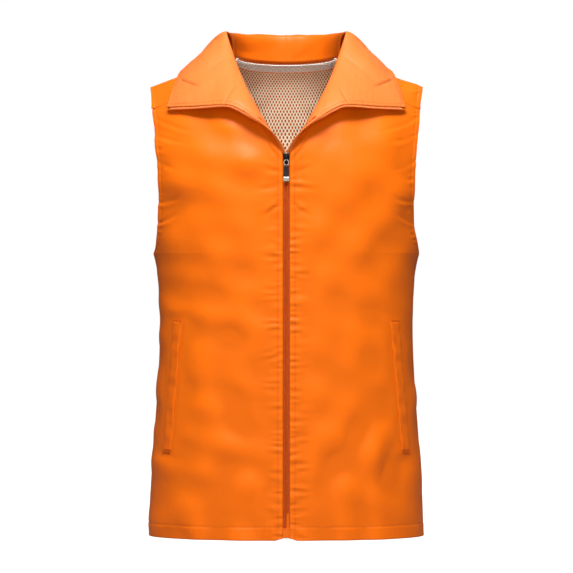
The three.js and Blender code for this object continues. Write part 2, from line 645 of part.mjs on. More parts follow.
function wingNode(row, t) {
  const atCorner = row.roll === COLLAR_CORNER.z;
  const root = rollPoint(row.roll);
  if (!atCorner) root.y -= ROLL_STANDOFF;
  const out = new THREE.Vector3(...row.out).normalize();
  const handle = row.edge.clone().lerp(root, EDGE_SHARE).add(new THREE.Vector3(...row.lift));
  return bezier([root, along(root, out, FALL_REACH), handle, row.edge], t);
}

// Rows between the named ones, so that the wing bends smoothly.
function fillRows(rows) {
  return rows.flatMap((row, i) => {
    if (i === rows.length - 1) return [row];
    const next = rows[i + 1];
    const between = {
      roll: lerp(row.roll, next.roll, 0.5),
      edge: row.edge.clone().lerp(next.edge, 0.5),
      out: row.out.map((v, k) => lerp(v, next.out[k], 0.5)),
      lift: row.lift.map((v, k) => lerp(v, next.lift[k], 0.5)),
    };
    return [row, between];
  });
}

function wingSheet(rows) {
  const nodes = rows.map((row) => ACROSS.map((t) => wingNode(row, t)));
  return { nodes, normals: gridNormals(nodes, -1) };
}

const wholeWing = wingSheet([...LAPEL_ROWS.slice(0, -1), ...fillRows(COLLAR_ROWS)]);
const towardsFront = wholeWing.normals[3][4].y < 0 ? 1 : -1;
wholeWing.normals.forEach((column) => column.forEach((n) => n.multiplyScalar(towardsFront)));
const NOTCH_COLUMN = LAPEL_ROWS.length - 1;
const WING_COLUMNS = wholeWing.nodes.length - 1;
const TIP_COLUMN = NOTCH_COLUMN + 4;
const ACROSS_LAST = ACROSS.length - 1;

// The zip edge of the wing, as stations along the chain: the middle of the coil's face, the direction from
// the cloth to the free edge, and the outward normal.
const COIL_BEYOND = 1.4; // the coil stands this far beyond the cloth edge
const STRIP_UNDER = UNDER_LAYER[1] + LAYER_GAP;
const TAPE_BEHIND = COIL_THICK + RUNNING_GAP; // from the coil's face to the tape
const WING_COIL_DEPTH = STRIP_UNDER - TAPE_BEHIND;
const wingChain = wholeWing.nodes.slice(0, TIP_COLUMN + 1).map((column, i) => {
  const edge = column[ACROSS_LAST];
  const before = wholeWing.nodes[Math.max(i - 1, 0)][ACROSS_LAST];
  const after = wholeWing.nodes[Math.min(i + 1, TIP_COLUMN)][ACROSS_LAST];
  const normal = wholeWing.normals[i][ACROSS_LAST];
  const away = after.clone().sub(before).cross(normal).normalize();
  const cloth = edge.clone().sub(column[ACROSS_LAST - 1]);
  if (away.dot(cloth) < 0) away.negate();
  const middle = along(along(edge, away, COIL_BEYOND + COIL_WIDTH / 2), normal, -WING_COIL_DEPTH);
  return { middle, away, normal };
});

// A strip along a chain: each station's list says how far beyond the middle of the coil its points lie.
function chainStrip(stations, distances, side) {
  const at = ({ middle, away }, distance) => flipX(along(middle, away, distance), side);
  const nodes = stations.map((station, i) => distances[i].map((distance) => at(station, distance)));
  const normals = stations.map(({ normal }, i) => distances[i].map(() => flipX(normal, side)));
  return { nodes, normals };
}

const coilWidth = [-COIL_WIDTH / 2, COIL_WIDTH / 2];
const coilStrip = (stations, side) => chainStrip(stations, stations.map(() => coilWidth), side);
const tapeStrip = (stations, reaches, free, side) =>
  chainStrip(stations, reaches.map((reach) => [reach, -COIL_WIDTH / 2, free]), side);

for (const [name, side] of SIDES) {
  const wing = new THREE.Group();
  wing.name = `wing_${name}`;
  vest.add(wing);
  const part = (from, to) => patch(wholeWing.nodes, wholeWing.normals, [from, to], [0, ACROSS_LAST], side);
  const lapel = trimmed(part(0, NOTCH_COLUMN), ["outer"]);
  addMesh(wing, `lapel_facing_${name}`, sheetGeometry(lapel, ...TOP_LAYER), facingCloth);
  addMesh(wing, `lapel_shell_${name}`, sheetGeometry(lapel, ...UNDER_LAYER), shellCloth);
  const collar = trimmed(part(NOTCH_COLUMN, WING_COLUMNS), ["inner"]);
  const collarCut = trimmed(collar, ["outer"], WING_GAP);
  addMesh(wing, `top_collar_${name}`, sheetGeometry(collarCut, ...TOP_LAYER), facingCloth);
  addMesh(wing, `under_collar_${name}`, sheetGeometry(collarCut, ...UNDER_LAYER), shellCloth);
  const reach = COIL_WIDTH / 2 - WING_TAPE_WIDTH;
  const tapeWhole = tapeStrip(wingChain, wingChain.map(() => reach), COIL_WIDTH / 2, side);
  const tape = trimmed(tapeWhole, ["outer"], STOP_LENGTH / 2);
  addMesh(wing, `zip_tape_wing_${name}`, sheetGeometry(tape, TAPE_BEHIND, TAPE_BEHIND + ZIP_TAPE), zipTape);
  const coil = trimmed(coilStrip(wingChain, side), ["outer"], STOP_LENGTH);
  addMesh(wing, `zip_coil_wing_${name}`, sheetGeometry(coil, 0, COIL_THICK), zipCoil);
  const end = wingChain[TIP_COLUMN];
  const back = wingChain[TIP_COLUMN - 1].middle.clone().sub(end.middle).setLength(STOP_LENGTH - SEAM_GAP);
  const stopStations = [{ ...end, middle: end.middle.clone().add(back) }, end];
  const stop = coilStrip(stopStations, side);
  addMesh(wing, `zip_stop_${name}`, sheetGeometry(stop, 0, COIL_THICK), blackMetal);
}

// ---- Zip on the closed front, and its open ends up to the wings ----
const COIL_Y = -FRONT_DEPTH - COIL_FACE;
const TAPE_Y = COIL_Y + TAPE_BEHIND;
const OPEN_STEPS = [0.12, 0.25, 0.45, 0.7, 0.97];
const CHAIN_HANDLE = 0.4;
const CHAIN_PROUD = 9; // how far the open chain is drawn forward as it leaves the slider
const coilMiddleX = COIL_INNER_X + COIL_WIDTH / 2;
const spans = (low, high) => steps(ZIP_SPANS).map((t) => lerp(low, high, t));

// Stations up the centre line, then out to the wing's zip edge.
function frontChain(heights) {
  const straight = heights.map((z) => ({
    middle: new THREE.Vector3(coilMiddleX, COIL_Y, z),
    away: new THREE.Vector3(-1, 0, 0),
    normal: new THREE.Vector3(0, -1, 0),
  }));
  const top = straight.at(-1);
  const end = wingChain[0];
  const rise = top.middle.clone();
  rise.y -= CHAIN_PROUD;
  rise.z = lerp(rise.z, end.middle.z, CHAIN_HANDLE);
  const handle = end.middle.clone().lerp(top.middle, CHAIN_HANDLE);
  const open = OPEN_STEPS.map((t) => ({
    middle: bezier([top.middle, rise, handle, end.middle], t),
    away: top.away.clone().lerp(end.away, t).normalize(),
    normal: top.normal.clone().lerp(end.normal, t).normalize(),
  }));
  return [...straight, ...open];
}

for (const [name, side] of SIDES) {
  const pinned = side > 0;
  const coilBottom = (pinned ? PIN_TOP_Z : RETAINER_TOP_Z) + RUNNING_GAP;
  const coil = coilStrip(frontChain(spans(coilBottom, V_POINT_Z)), side);
  addMesh(vest, `zip_coil_${name}`, sheetGeometry(coil, 0, COIL_THICK), zipCoil);
  const closed = spans(RETAINER_TOP_Z + RUNNING_GAP, V_POINT_Z - TAPE_TURN);
  const tapeStations = frontChain([...closed, V_POINT_Z]);
  const wide = coilMiddleX - TAPE_OUTER_X;
  const inSlot = coilMiddleX - PANEL_EDGE_X + RUNNING_GAP;
  const open = COIL_WIDTH / 2 - WING_TAPE_WIDTH;
  const reaches = [...closed.map(() => wide), inSlot, ...OPEN_STEPS.map((t) => lerp(inSlot, open, t))];
  const tape = tapeStrip(tapeStations, reaches, coilMiddleX - TAPE_INNER_X, side);
  addMesh(vest, `zip_tape_${name}`, sheetGeometry(tape, TAPE_BEHIND, TAPE_BEHIND + ZIP_TAPE), zipTape);
}

const coilMiddleY = COIL_Y + COIL_THICK / 2;
const pinHeight = PIN_TOP_Z - RETAINER_TOP_Z - RUNNING_GAP;
const pinGeometry = new THREE.BoxGeometry(PIN_WIDTH, PIN_THICK, pinHeight);
const pin = addMesh(vest, "insertion_pin", pinGeometry, blackMetal);
pin.position.set(coilMiddleX, coilMiddleY, PIN_TOP_Z - pinHeight / 2);

const retainerWidth = 2 * (PANEL_EDGE_X - RUNNING_GAP * 2);
const retainerFrontY = COIL_Y - RETAINER_FACE;
const retainerBackY = TAPE_Y + ZIP_TAPE;
const retainerDepth = retainerBackY - retainerFrontY;
const retainerGeometry = new THREE.BoxGeometry(retainerWidth, retainerDepth, RETAINER_TOP_Z - ZIP_BOTTOM_Z);
const retainer = addMesh(vest, "retainer_box", retainerGeometry, blackMetal);
retainer.position.set(0, (retainerFrontY + retainerBackY) / 2, (RETAINER_TOP_Z + ZIP_BOTTOM_Z) / 2);

// ---- Slider: two plates joined by a web that runs between the coils ----
const slider = new THREE.Group();
slider.name = "slider";
vest.add(slider);
const plateFrontY = COIL_Y - RUNNING_GAP;
const plateBackY = TAPE_Y + ZIP_TAPE + RUNNING_GAP;
function sliderSection() {
  const w = SLIDER_WIDTH / 2;
  const web = SLIDER_WEB / 2;
  const front = plateFrontY - SLIDER_PLATE;
  const back = plateBackY + SLIDER_BACK_PLATE;
  const shape = new THREE.Shape();
  shape.moveTo(-w + SLIDER_BEVEL, front);
  shape.lineTo(w - SLIDER_BEVEL, front);
  shape.lineTo(w, front + SLIDER_BEVEL);
  shape.lineTo(w, plateFrontY);
  shape.lineTo(web, plateFrontY);
  shape.lineTo(web, plateBackY);
  shape.lineTo(w, plateBackY);
  shape.lineTo(w, back);
  shape.lineTo(-w, back);
  shape.lineTo(-w, plateBackY);
  shape.lineTo(-web, plateBackY);
  shape.lineTo(-web, plateFrontY);
  shape.lineTo(-w, plateFrontY);
  shape.lineTo(-w, front + SLIDER_BEVEL);
  return shape;
}
const extruded = (shape, depth) =>
  new THREE.ExtrudeGeometry(shape, { depth, bevelEnabled: false, curveSegments: 4 });
const sliderBody = extruded(sliderSection(), SLIDER_LENGTH);
addMesh(slider, "zip_slider_body", sliderBody, blackMetal).position.z = V_POINT_Z - SLIDER_LENGTH;

const eyeRadius = Math.hypot(EYE_BAR, EYE_THICK) / 2;
const eyeY = plateFrontY - SLIDER_PLATE - RUNNING_GAP - eyeRadius;
const bridgeInner = eyeY - eyeRadius - RUNNING_GAP;
const bridgeTopZ = V_POINT_Z - BRIDGE_DROP;
const bridgeBottomZ = bridgeTopZ - BRIDGE_LENGTH;
const eyeZ = bridgeBottomZ + BRIDGE_FOOT + RUNNING_GAP + eyeRadius;
// The arch in the Y-Z plane, drawn with Z along the shape's first axis and Y along its second.
function bridgeArch() {
  const foot = plateFrontY - SLIDER_PLATE - RUNNING_GAP;
  const shape = new THREE.Shape();
  shape.moveTo(bridgeBottomZ, foot);
  shape.lineTo(bridgeBottomZ + BRIDGE_SLOPE, bridgeInner - BRIDGE_BAR);
  shape.lineTo(bridgeTopZ - BRIDGE_SLOPE, bridgeInner - BRIDGE_BAR);
  shape.lineTo(bridgeTopZ, foot);
  shape.lineTo(bridgeTopZ - BRIDGE_FOOT, foot);
  shape.lineTo(bridgeTopZ - BRIDGE_FOOT, bridgeInner);
  shape.lineTo(bridgeBottomZ + BRIDGE_FOOT, bridgeInner);
  shape.lineTo(bridgeBottomZ + BRIDGE_FOOT, foot);
  return extruded(shape, BRIDGE_WIDTH);
}
const bridge = addMesh(slider, "zip_slider_bridge", bridgeArch(), blackMetal);
// Turns the drawing's axes (Z, Y, thickness) onto the vest's axes.
bridge.matrixAutoUpdate = false;
bridge.matrix.makeBasis(
  new THREE.Vector3(0, 0, 1), new THREE.Vector3(0, 1, 0), new THREE.Vector3(-1, 0, 0),
).setPosition(BRIDGE_WIDTH / 2, 0, 0);

// ---- Pull: eye, grip and tip, hanging from the bridge ----
const pull = new THREE.Group();
pull.name = "pull";
pull.position.set(0, eyeY, eyeZ);
slider.add(pull);

function roundedPlate(width, low, high, radius) {
  const w = width / 2;
  const shape = new THREE.Shape();
  shape.moveTo(-w + radius, low);
  shape.lineTo(w - radius, low);
  shape.absarc(w - radius, low + radius, radius, -Math.PI / 2, 0);
  shape.lineTo(w, high - radius);
  shape.absarc(w - radius, high - radius, radius, 0, Math.PI / 2);
  shape.lineTo(-w + radius, high);
  shape.absarc(-w + radius, high - radius, radius, Math.PI / 2, Math.PI);
  shape.lineTo(-w, low + radius);
  shape.absarc(-w + radius, low + radius, radius, Math.PI, Math.PI * 1.5);
  return shape;
}

// Plates are drawn in X and Z with the hinge at the origin, and centred on the pull's plane.
function pullPlate(name, shape, thickness, material) {
  const geometry = extruded(shape, thickness);
  geometry.translate(0, 0, -thickness / 2).rotateX(Math.PI / 2);
  addMesh(pull, name, geometry, material);
}

const eyeTop = EYE_BAR / 2;
const eyeBottom = eyeTop - EYE_LENGTH;
const eye = roundedPlate(EYE_WIDTH, eyeBottom, eyeTop, EYE_CORNER);
const holeWidth = EYE_WIDTH - 2 * EYE_ARM;
const hole = roundedPlate(holeWidth, eyeBottom + EYE_ARM, eyeTop - EYE_BAR, EYE_HOLE_CORNER);
eye.holes.push(hole);
pullPlate("pull_eye", eye, EYE_THICK, brightMetal);
const gripTop = eyeBottom - RUNNING_GAP;
const gripBottom = gripTop - GRIP_LENGTH;
const grip = roundedPlate(GRIP_WIDTH, gripBottom, gripTop, GRIP_CORNER);
pullPlate("pull_grip", grip, GRIP_THICK, blackGrip);
const tipTop = gripBottom - RUNNING_GAP;
const tip = roundedPlate(TIP_WIDTH, tipTop - TIP_LENGTH, tipTop, TIP_CORNER);
pullPlate("pull_tip", tip, TIP_THICK, brightMetal);

// ---- The vest stands centred over its origin ----
vest.updateMatrixWorld(true);
const extent = new THREE.Box3().setFromObject(vest);
vest.position.y = -(extent.min.y + extent.max.y) / 2;

export default vest;
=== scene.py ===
"""Blaze orange zip vest, built as cloth, mesh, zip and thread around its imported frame.

Shapes are worked out in millimetres in the pattern's own frame: +Z up from the hem, the front towards
-Y and the wearer's left towards +X. A piece's points are moved into the frame and to metres when its
mesh is made.
"""

import logging
import math
from dataclasses import dataclass, field
from enum import Enum
from typing import Callable, Sequence

import bpy
import numpy as np
from numpy.typing import NDArray
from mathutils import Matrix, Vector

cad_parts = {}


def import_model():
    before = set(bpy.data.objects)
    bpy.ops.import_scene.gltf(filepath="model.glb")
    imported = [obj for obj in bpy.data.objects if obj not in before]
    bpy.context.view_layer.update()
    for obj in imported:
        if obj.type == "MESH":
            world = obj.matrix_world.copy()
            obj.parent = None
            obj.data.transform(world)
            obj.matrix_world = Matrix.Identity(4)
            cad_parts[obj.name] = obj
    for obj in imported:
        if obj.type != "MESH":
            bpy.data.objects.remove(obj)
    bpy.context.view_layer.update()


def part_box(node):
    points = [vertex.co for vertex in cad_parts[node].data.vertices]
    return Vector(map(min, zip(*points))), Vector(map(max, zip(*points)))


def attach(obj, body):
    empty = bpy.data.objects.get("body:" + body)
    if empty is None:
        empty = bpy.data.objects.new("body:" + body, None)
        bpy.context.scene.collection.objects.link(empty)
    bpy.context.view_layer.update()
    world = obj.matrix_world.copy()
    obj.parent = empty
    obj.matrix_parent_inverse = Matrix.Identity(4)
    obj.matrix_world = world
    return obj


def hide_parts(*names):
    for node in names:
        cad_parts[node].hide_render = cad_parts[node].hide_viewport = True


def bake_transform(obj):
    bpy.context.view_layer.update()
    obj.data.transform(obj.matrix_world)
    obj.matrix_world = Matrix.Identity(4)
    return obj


Array = NDArray[np.float64]

LOG = logging.getLogger("vest")
MM = 0.001
UP = np.array([0.0, 0.0, 1.0])
TAU = 2.0 * math.pi
Colour = tuple[float, float, float, float]
Place = tuple[float, float, float]
Form = Callable[[Array, Array], Array]


# ---- Small maths on whole arrays ----------------------------------------------------------------


def lerp(a: Array, b: Array, t: Array) -> Array:
    """Straight blend from a to b as t runs from 0 to 1."""
    return a + (b - a) * t


def ramp(x: Array, low: float, high: float) -> Array:
    """0 below low, 1 above high and straight between."""
    return np.clip((x - low) / (high - low), 0.0, 1.0)


def ease(t: Array) -> Array:
    """Smooth step of t, t squared times three less two t."""
    return t * t * (3.0 - 2.0 * t)


def ridge(distance: Array, width: float) -> Array:
    """Bell curve of height 1 and the given half width."""
    return np.exp(-((distance / width) ** 2))


def unit(v: Array) -> Array:
    """Vectors scaled to length 1 along the last axis."""
    return v / np.maximum(np.linalg.norm(v, axis=-1, keepdims=True), 1e-9)


def bezier(a: Array, b: Array, c: Array, d: Array, t: Array) -> Array:
    """Cubic curve through a and d with handles b and c."""
    s = 1.0 - t
    return s**3 * a + 3 * s**2 * t * b + 3 * s * t**2 * c + t**3 * d


def patch(a: Array, b: Array, c: Array, d: Array, t: Array) -> Array:
    """Surface of one cubic curve for each row of the four arrays, read at every t."""
    return bezier(a[:, None], b[:, None], c[:, None], d[:, None], t[None, :, None])


def smooth_rows(table: Array, at: Array, corners: Sequence[int] = ()) -> Array:
    """Reads a table of rows at fractional row numbers along smooth curves.

    Each stretch between two rows is a Hermite cubic whose slopes are half the step across the
    neighbouring rows; at a corner row and at the ends the slope is that of the stretch itself.

    Args:
        table: one row of values for each whole number.
        at: fractional row numbers.
        corners: rows where the curve may turn sharply.

    Returns:
        The values, one row for each number in at.
    """
    last = len(table) - 1
    i = np.clip(np.floor(at).astype(int), 0, last - 1)
    t = (at - i)[:, None]
    p0, p1 = table[i], table[i + 1]
    sharp = np.isin(np.arange(last + 1), list(corners))
    before = table[np.maximum(i - 1, 0)]
    after = table[np.minimum(i + 2, last)]
    start = np.where(((i == 0) | sharp[i])[:, None], p1 - p0, (p1 - before) / 2)
    end = np.where(((i == last - 1) | sharp[i + 1])[:, None], p1 - p0, (after - p0) / 2)
    h1 = 2 * t**3 - 3 * t**2 + 1
    h2 = t**3 - 2 * t**2 + t
    h3 = t**3 - t**2
    return h1 * p0 + h2 * start + (1 - h1) * p1 + h3 * end


class Ripples:
    """Smooth seeded noise: a sum of plane waves of nearby lengths in seeded directions."""

    def __init__(self, seed: int, length: float, waves: int = 9, lean: float = 1.0) -> None:
        """Draws the waves.

        Args:
            seed: seed of the draws.
            length: middle wave length, in the units of the coordinates.
            waves: how many waves are summed.
            lean: below 1 stretches the ripples along the second coordinate.
        """
        rng = np.random.default_rng(seed)
        angle = rng.uniform(0.0, TAU, waves)
        number = TAU / (length * rng.uniform(0.6, 1.5, waves))
        self.kx = number * np.cos(angle)
        self.ky = number * np.sin(angle) * lean
        self.phase = rng.uniform(0.0, TAU, waves)
        self.scale = math.sqrt(2.0 / waves)

    def __call__(self, x: Array, y: Array) -> Array:
        """Value of the ripples, about -1 to 1, at each pair of coordinates."""
        flat = np.multiply.outer(x, self.kx) + np.multiply.outer(y, self.ky) + self.phase
        return np.sin(flat).sum(-1) * self.scale


# ---- Finishes -----------------------------------------------------------------------------------


class Slot(Enum):
    """Material slots of the record."""

    SHELL = "shell_cloth"
    FACING = "facing_cloth"
    MESH = "lining_mesh"
    TAPE = "zip_tape"
    COIL = "zip_coil"
    BLACK = "black_metal"
    BRIGHT = "bright_metal"
    GRIP = "black_grip"
    THREAD = "tack_thread"


class Nodes:
    """A new material's node tree, with short ways to add and join nodes."""

    def __init__(self, name: str) -> None:
        """Makes the material with its shader and output."""
        self.material = bpy.data.materials.new(name)
        self.material.use_nodes = True
        self.tree = self.material.node_tree
        self.shader = self.tree.nodes["Principled BSDF"]

    def add(self, kind: str, **values: object) -> bpy.types.Node:
        """Adds a node and sets its properties or its sockets by name.

        Args:
            kind: Blender's node type.
            values: property names, or socket names with spaces written as underscores.

        Returns:
            The node.
        """
        node = self.tree.nodes.new(kind)
        for key, value in values.items():
            if hasattr(node, key):
                setattr(node, key, value)
            else:
                node.inputs[key.replace("_", " ")].default_value = value
        return node

    def join(self, source: bpy.types.NodeSocket, target: bpy.types.NodeSocket) -> None:
        """Links one socket to another."""
        self.tree.links.new(source, target)

    def sum_of(self, a: bpy.types.NodeSocket, b: bpy.types.NodeSocket) -> bpy.types.NodeSocket:
        """Adds two values."""
        node = self.add("ShaderNodeMath", operation="ADD")
        self.join(a, node.inputs[0])
        self.join(b, node.inputs[1])
        return node.outputs[0]

    def product(self, a: bpy.types.NodeSocket, factor: float) -> bpy.types.NodeSocket:
        """Multiplies a value by a number."""
        node = self.add("ShaderNodeMath", operation="MULTIPLY")
        self.join(a, node.inputs[0])
        node.inputs[1].default_value = factor
        return node.outputs[0]

    def noise(self, **values: float) -> bpy.types.NodeSocket:
        """A noise on the piece's own coordinates, with its sockets set by name."""
        node = self.add("ShaderNodeTexNoise", **values)
        self.join(self.add("ShaderNodeTexCoord").outputs["Object"], node.inputs["Vector"])
        return node.outputs["Fac"]

    def spread(self, value: bpy.types.NodeSocket, low: float, high: float) -> bpy.types.NodeSocket:
        """Maps a value of 0 to 1 onto the range from low to high."""
        node = self.add("ShaderNodeMapRange", To_Min=low, To_Max=high)
        self.join(value, node.inputs["Value"])
        return node.outputs[0]

    def paint(self, colour: Colour, level: bpy.types.NodeSocket) -> None:
        """Makes the base colour a colour times a brightness."""
        node = self.add("ShaderNodeMix", data_type="RGBA", blend_type="MULTIPLY")
        node.inputs["Factor"].default_value = 1.0
        node.inputs[6].default_value = colour
        self.join(level, node.inputs[7])
        self.join(node.outputs[2], self.shader.inputs["Base Color"])

    def bump(self, height: bpy.types.NodeSocket, distance: float, strength: float) -> None:
        """Turns a height into the shader's bump.

        Args:
            height: value from 0 to 1.
            distance: depth in metres that a height of 1 stands for.
            strength: share of the effect.
        """
        node = self.add("ShaderNodeBump", Distance=distance, Strength=strength)
        self.join(height, node.inputs["Height"])
        self.join(node.outputs[0], self.shader.inputs["Normal"])


def linear(red: int, green: int, blue: int) -> Colour:
    """A display colour of 0 to 255 as linear light."""
    share = [c / 255.0 for c in (red, green, blue)]
    light = [s / 12.92 if s <= 0.04045 else ((s + 0.055) / 1.055) ** 2.4 for s in share]
    return (light[0], light[1], light[2], 1.0)


@dataclass(frozen=True)
class WovenCloth:
    """Plain-woven cloth: crossing warp and weft waves, soft crumple and slight slub of colour."""

    name: str
    slot: Slot
    colour: Colour
    thread_pitch: float = 0.00052
    crumple: float = 0.3
    roughness: float = 0.46
    specular: float = 0.34
    weave_share: float = 0.06
    bump_depth: float = 0.0012

    def make(self) -> bpy.types.Material:
        """Builds the material; the cloth UV map is in metres along warp and weft."""
        n = Nodes(self.name)
        uv = n.add("ShaderNodeUVMap", uv_map="cloth")
        wave_scale = TAU / (20.0 * self.thread_pitch)
        threads = []
        for direction in ("X", "Y"):
            wave = n.add("ShaderNodeTexWave", bands_direction=direction, Scale=wave_scale)
            n.join(uv.outputs[0], wave.inputs["Vector"])
            threads.append(wave.outputs["Fac"])
        weave = n.product(n.sum_of(*threads), self.weave_share)
        folds = n.noise(Scale=70.0, Detail=3.0, Roughness=0.45)
        n.bump(n.sum_of(weave, folds), self.bump_depth, self.crumple)
        slub = n.spread(n.noise(Scale=16.0, Detail=4.0, Roughness=0.6), 0.95, 1.05)
        # The base colour is the slub times the tone attribute, which holds painted shade and light.
        painted_shading = n.add("ShaderNodeAttribute", attribute_name="painted_shading")
        level = n.add("ShaderNodeMath", operation="MULTIPLY")
        n.join(slub, level.inputs[0])
        n.join(painted_shading.outputs["Fac"], level.inputs[1])
        n.paint(self.colour, level.outputs[0])
        n.shader.inputs["Roughness"].default_value = self.roughness
        n.shader.inputs["Specular IOR Level"].default_value = self.specular
        return n.material


@dataclass(frozen=True)
class SpunThread:
    """Sewing thread or net strand: fine twist bump and slight change of colour along it."""

    name: str
    slot: Slot
    colour: Colour
    twist: float = 2600.0
    roughness: float = 0.8
    specular: float = 0.25

    def make(self) -> bpy.types.Material:
        """Builds the material from a fine noise on the piece's own coordinates."""
        n = Nodes(self.name)
        n.bump(n.noise(Scale=self.twist, Detail=2.0), 0.0002, 0.5)
        n.paint(self.colour, n.spread(n.noise(Scale=55.0, Detail=2.0), 0.9, 1.08))
        n.shader.inputs["Roughness"].default_value = self.roughness
        n.shader.inputs["Specular IOR Level"].default_value = self.specular
        return n.material


@dataclass(frozen=True)
class HardFinish:
    """Coated metal, plated metal or moulded plastic: its wear is a noise in roughness and bump."""

    name: str
    slot: Slot
    colour: Colour
    metallic: float
    roughness: float
    grain: float = 900.0
    grain_depth: float = 0.00003

    def make(self) -> bpy.types.Material:
        """Builds the material with a roughness that varies about its middle value."""
        n = Nodes(self.name)
        grain = n.noise(Scale=self.grain, Detail=3.0)
        n.bump(grain, self.grain_depth, 0.6)
        worn = n.spread(grain, self.roughness * 0.7, self.roughness * 1.35)
        n.join(worn, n.shader.inputs["Roughness"])
        n.shader.inputs["Base Color"].default_value = self.colour
        n.shader.inputs["Metallic"].default_value = self.metallic
        return n.material


Finish = WovenCloth | SpunThread | HardFinish

SHELL = WovenCloth("shell_cloth", Slot.SHELL, linear(244, 112, 4))
# Painted light: a paler copy of the shell orange, lightened for the light and sheen that the up-facing
# wings catch.
LIT_COLLAR_CLOTH = WovenCloth("collar_cloth", Slot.FACING, linear(240, 127, 58), crumple=0.15)
INSIDE_CLOTH = WovenCloth("inside_cloth", Slot.FACING, linear(236, 104, 6))
WELT_CLOTH = WovenCloth("welt_cloth", Slot.SHELL, linear(243, 110, 4), crumple=0.2)
BAG_CLOTH = WovenCloth("bag_cloth", Slot.MESH, linear(236, 222, 204), crumple=0.2)
TAPE_CLOTH = WovenCloth("tape_cloth", Slot.TAPE, linear(224, 98, 6), thread_pitch=0.0007, crumple=0.1)
NET = SpunThread("net_yarn", Slot.MESH, linear(254, 238, 206))
NECK_YARN = SpunThread("neck_tape_yarn", Slot.MESH, linear(253, 251, 248), twist=1500.0)
SEWING = SpunThread("sewing_thread", Slot.SHELL, linear(250, 132, 34))
TACK = SpunThread("tack_thread", Slot.THREAD, linear(226, 100, 8))
COIL = HardFinish("coil_nylon", Slot.COIL, linear(208, 84, 4), 0.0, 0.5)
# Painted light: a paler copy of the coil nylon, for the light that falls on the wing's zip edge.
LIT_WING_COIL = HardFinish("lit_wing_coil_nylon", Slot.COIL, linear(250, 150, 76), 0.0, 0.5)
PAINTED = HardFinish("painted_box", Slot.COIL, linear(238, 112, 20), 0.0, 0.35)
TAPE_END = SpunThread("folded_tape_end", Slot.TAPE, linear(214, 112, 40))
LACQUER = HardFinish("black_lacquer", Slot.BLACK, linear(34, 33, 34), 0.6, 0.38)
PLATED = HardFinish("bright_plate", Slot.BRIGHT, linear(228, 226, 222), 0.7, 0.32)
GRIP = HardFinish("moulded_grip", Slot.GRIP, linear(30, 29, 30), 0.0, 0.5, grain=2400.0)


# ---- Meshes -------------------------------------------------------------------------------------


class Workroom:
    """Turns point arrays into objects: keeps the frame's shift, the made finishes and the count."""

    retainer_front = 126.4

    def __init__(self) -> None:
        """Reads where the frame stands, from the retainer box's front."""
        low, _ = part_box("retainer_box")
        self.shift = np.array([0.0, low.y / MM + self.retainer_front, 0.0])
        self.materials: dict[str, bpy.types.Material] = {}
        self.made = 0

    def metres(self, points: Array) -> Array:
        """Pattern millimetres to the frame's metres."""
        return (points + self.shift) * MM

    def finish(self, finish: Finish) -> bpy.types.Material:
        """The material of a finish, made once."""
        if finish.name not in self.materials:
            self.materials[finish.name] = finish.make()
        return self.materials[finish.name]

    def build(
        self,
        name: str,
        points: Array,
        faces: Sequence[Array],
        finish: Finish,
        uv: Array | None = None,
        painted_shading: Array | None = None,
    ) -> bpy.types.Object:
        """Makes a smooth-shaded object at the origin from arrays.

        Args:
            name: the piece's name.
            points: vertices in pattern millimetres, n by 3.
            faces: arrays of vertex numbers, each m by the number of corners.
            finish: what it is made of.
            uv: cloth coordinates in metres, n by 2.
            painted_shading: brightness factor at each vertex, which carries painted shade and light.

        Returns:
            The object.
        """
        mesh = bpy.data.meshes.new(name)
        corners = np.concatenate([f.ravel() for f in faces]).astype(np.int32)
        counts = np.concatenate([np.full(len(f), f.shape[1]) for f in faces])
        starts = np.concatenate([[0], np.cumsum(counts)[:-1]]).astype(np.int32)
        mesh.vertices.add(len(points))
        mesh.vertices.foreach_set("co", self.metres(points).astype(np.float32).ravel())
        mesh.loops.add(len(corners))
        mesh.polygons.add(len(counts))
        mesh.polygons.foreach_set("loop_start", starts)
        mesh.polygons.foreach_set("vertices", corners)
        mesh.update(calc_edges=True)
        mesh.polygons.foreach_set("use_smooth", np.ones(len(counts), dtype=bool))
        if uv is not None:
            layer = mesh.uv_layers.new(name="cloth")
            layer.data.foreach_set("uv", uv[corners].astype(np.float32).ravel())
        # The tone attribute holds painted shade and light; it multiplies the cloth's base colour.
        level = np.ones(len(points)) if painted_shading is None else painted_shading
        attribute = mesh.attributes.new("painted_shading", "FLOAT", "POINT")
        attribute.data.foreach_set("value", level.astype(np.float32))
        mesh.materials.append(self.finish(finish))
        obj = bpy.data.objects.new(name, mesh)
        bpy.context.scene.collection.objects.link(obj)
        self.made += 1
        LOG.info("%s: %d faces", name, len(counts))
        return obj


def grid_normals(points: Array) -> Array:
    """Unit normals of a grid of points, the cross product of its two directions."""
    across = np.gradient(points, axis=0)
    up = np.gradient(points, axis=1)
    return unit(np.cross(across, up))


def arc(points: Array, axis: int) -> Array:
    """Length along the grid lines of one axis, counted from their first point."""
    step = np.linalg.norm(np.diff(points, axis=axis), axis=-1)
    start = np.zeros_like(np.take(step, [0], axis=axis))
    return np.concatenate([start, np.cumsum(step, axis=axis)], axis=axis)


def spaced(stops: Sequence[float], steps: Sequence[int]) -> Array:
    """Numbers that run through the stops, with a count of even steps between each two."""
    parts = [np.linspace(a, b, n + 1)[:-1] for a, b, n in zip(stops, stops[1:], steps)]
    return np.concatenate([*parts, stops[-1:]])


def read_along(run: Array, values: Array, at: Array) -> Array:
    """Vectors at places along a path, straight between those at each of its points.

    Args:
        run: length along the path at each point.
        values: a vector at each point.
        at: the lengths to read at.

    Returns:
        The vectors.
    """
    return np.stack([np.interp(at, run, values[:, k]) for k in range(3)], -1)


def ring_faces(number: Array) -> list[Array]:
    """Quads between the rings of a closed tube, and the caps over its ends, from its point numbers."""
    turned = np.roll(number, -1, axis=1)
    quads = np.stack([number[:-1], turned[:-1], turned[1:], number[1:]], -1).reshape(-1, 4)
    return [quads, np.stack([number[0][::-1], number[-1]])]


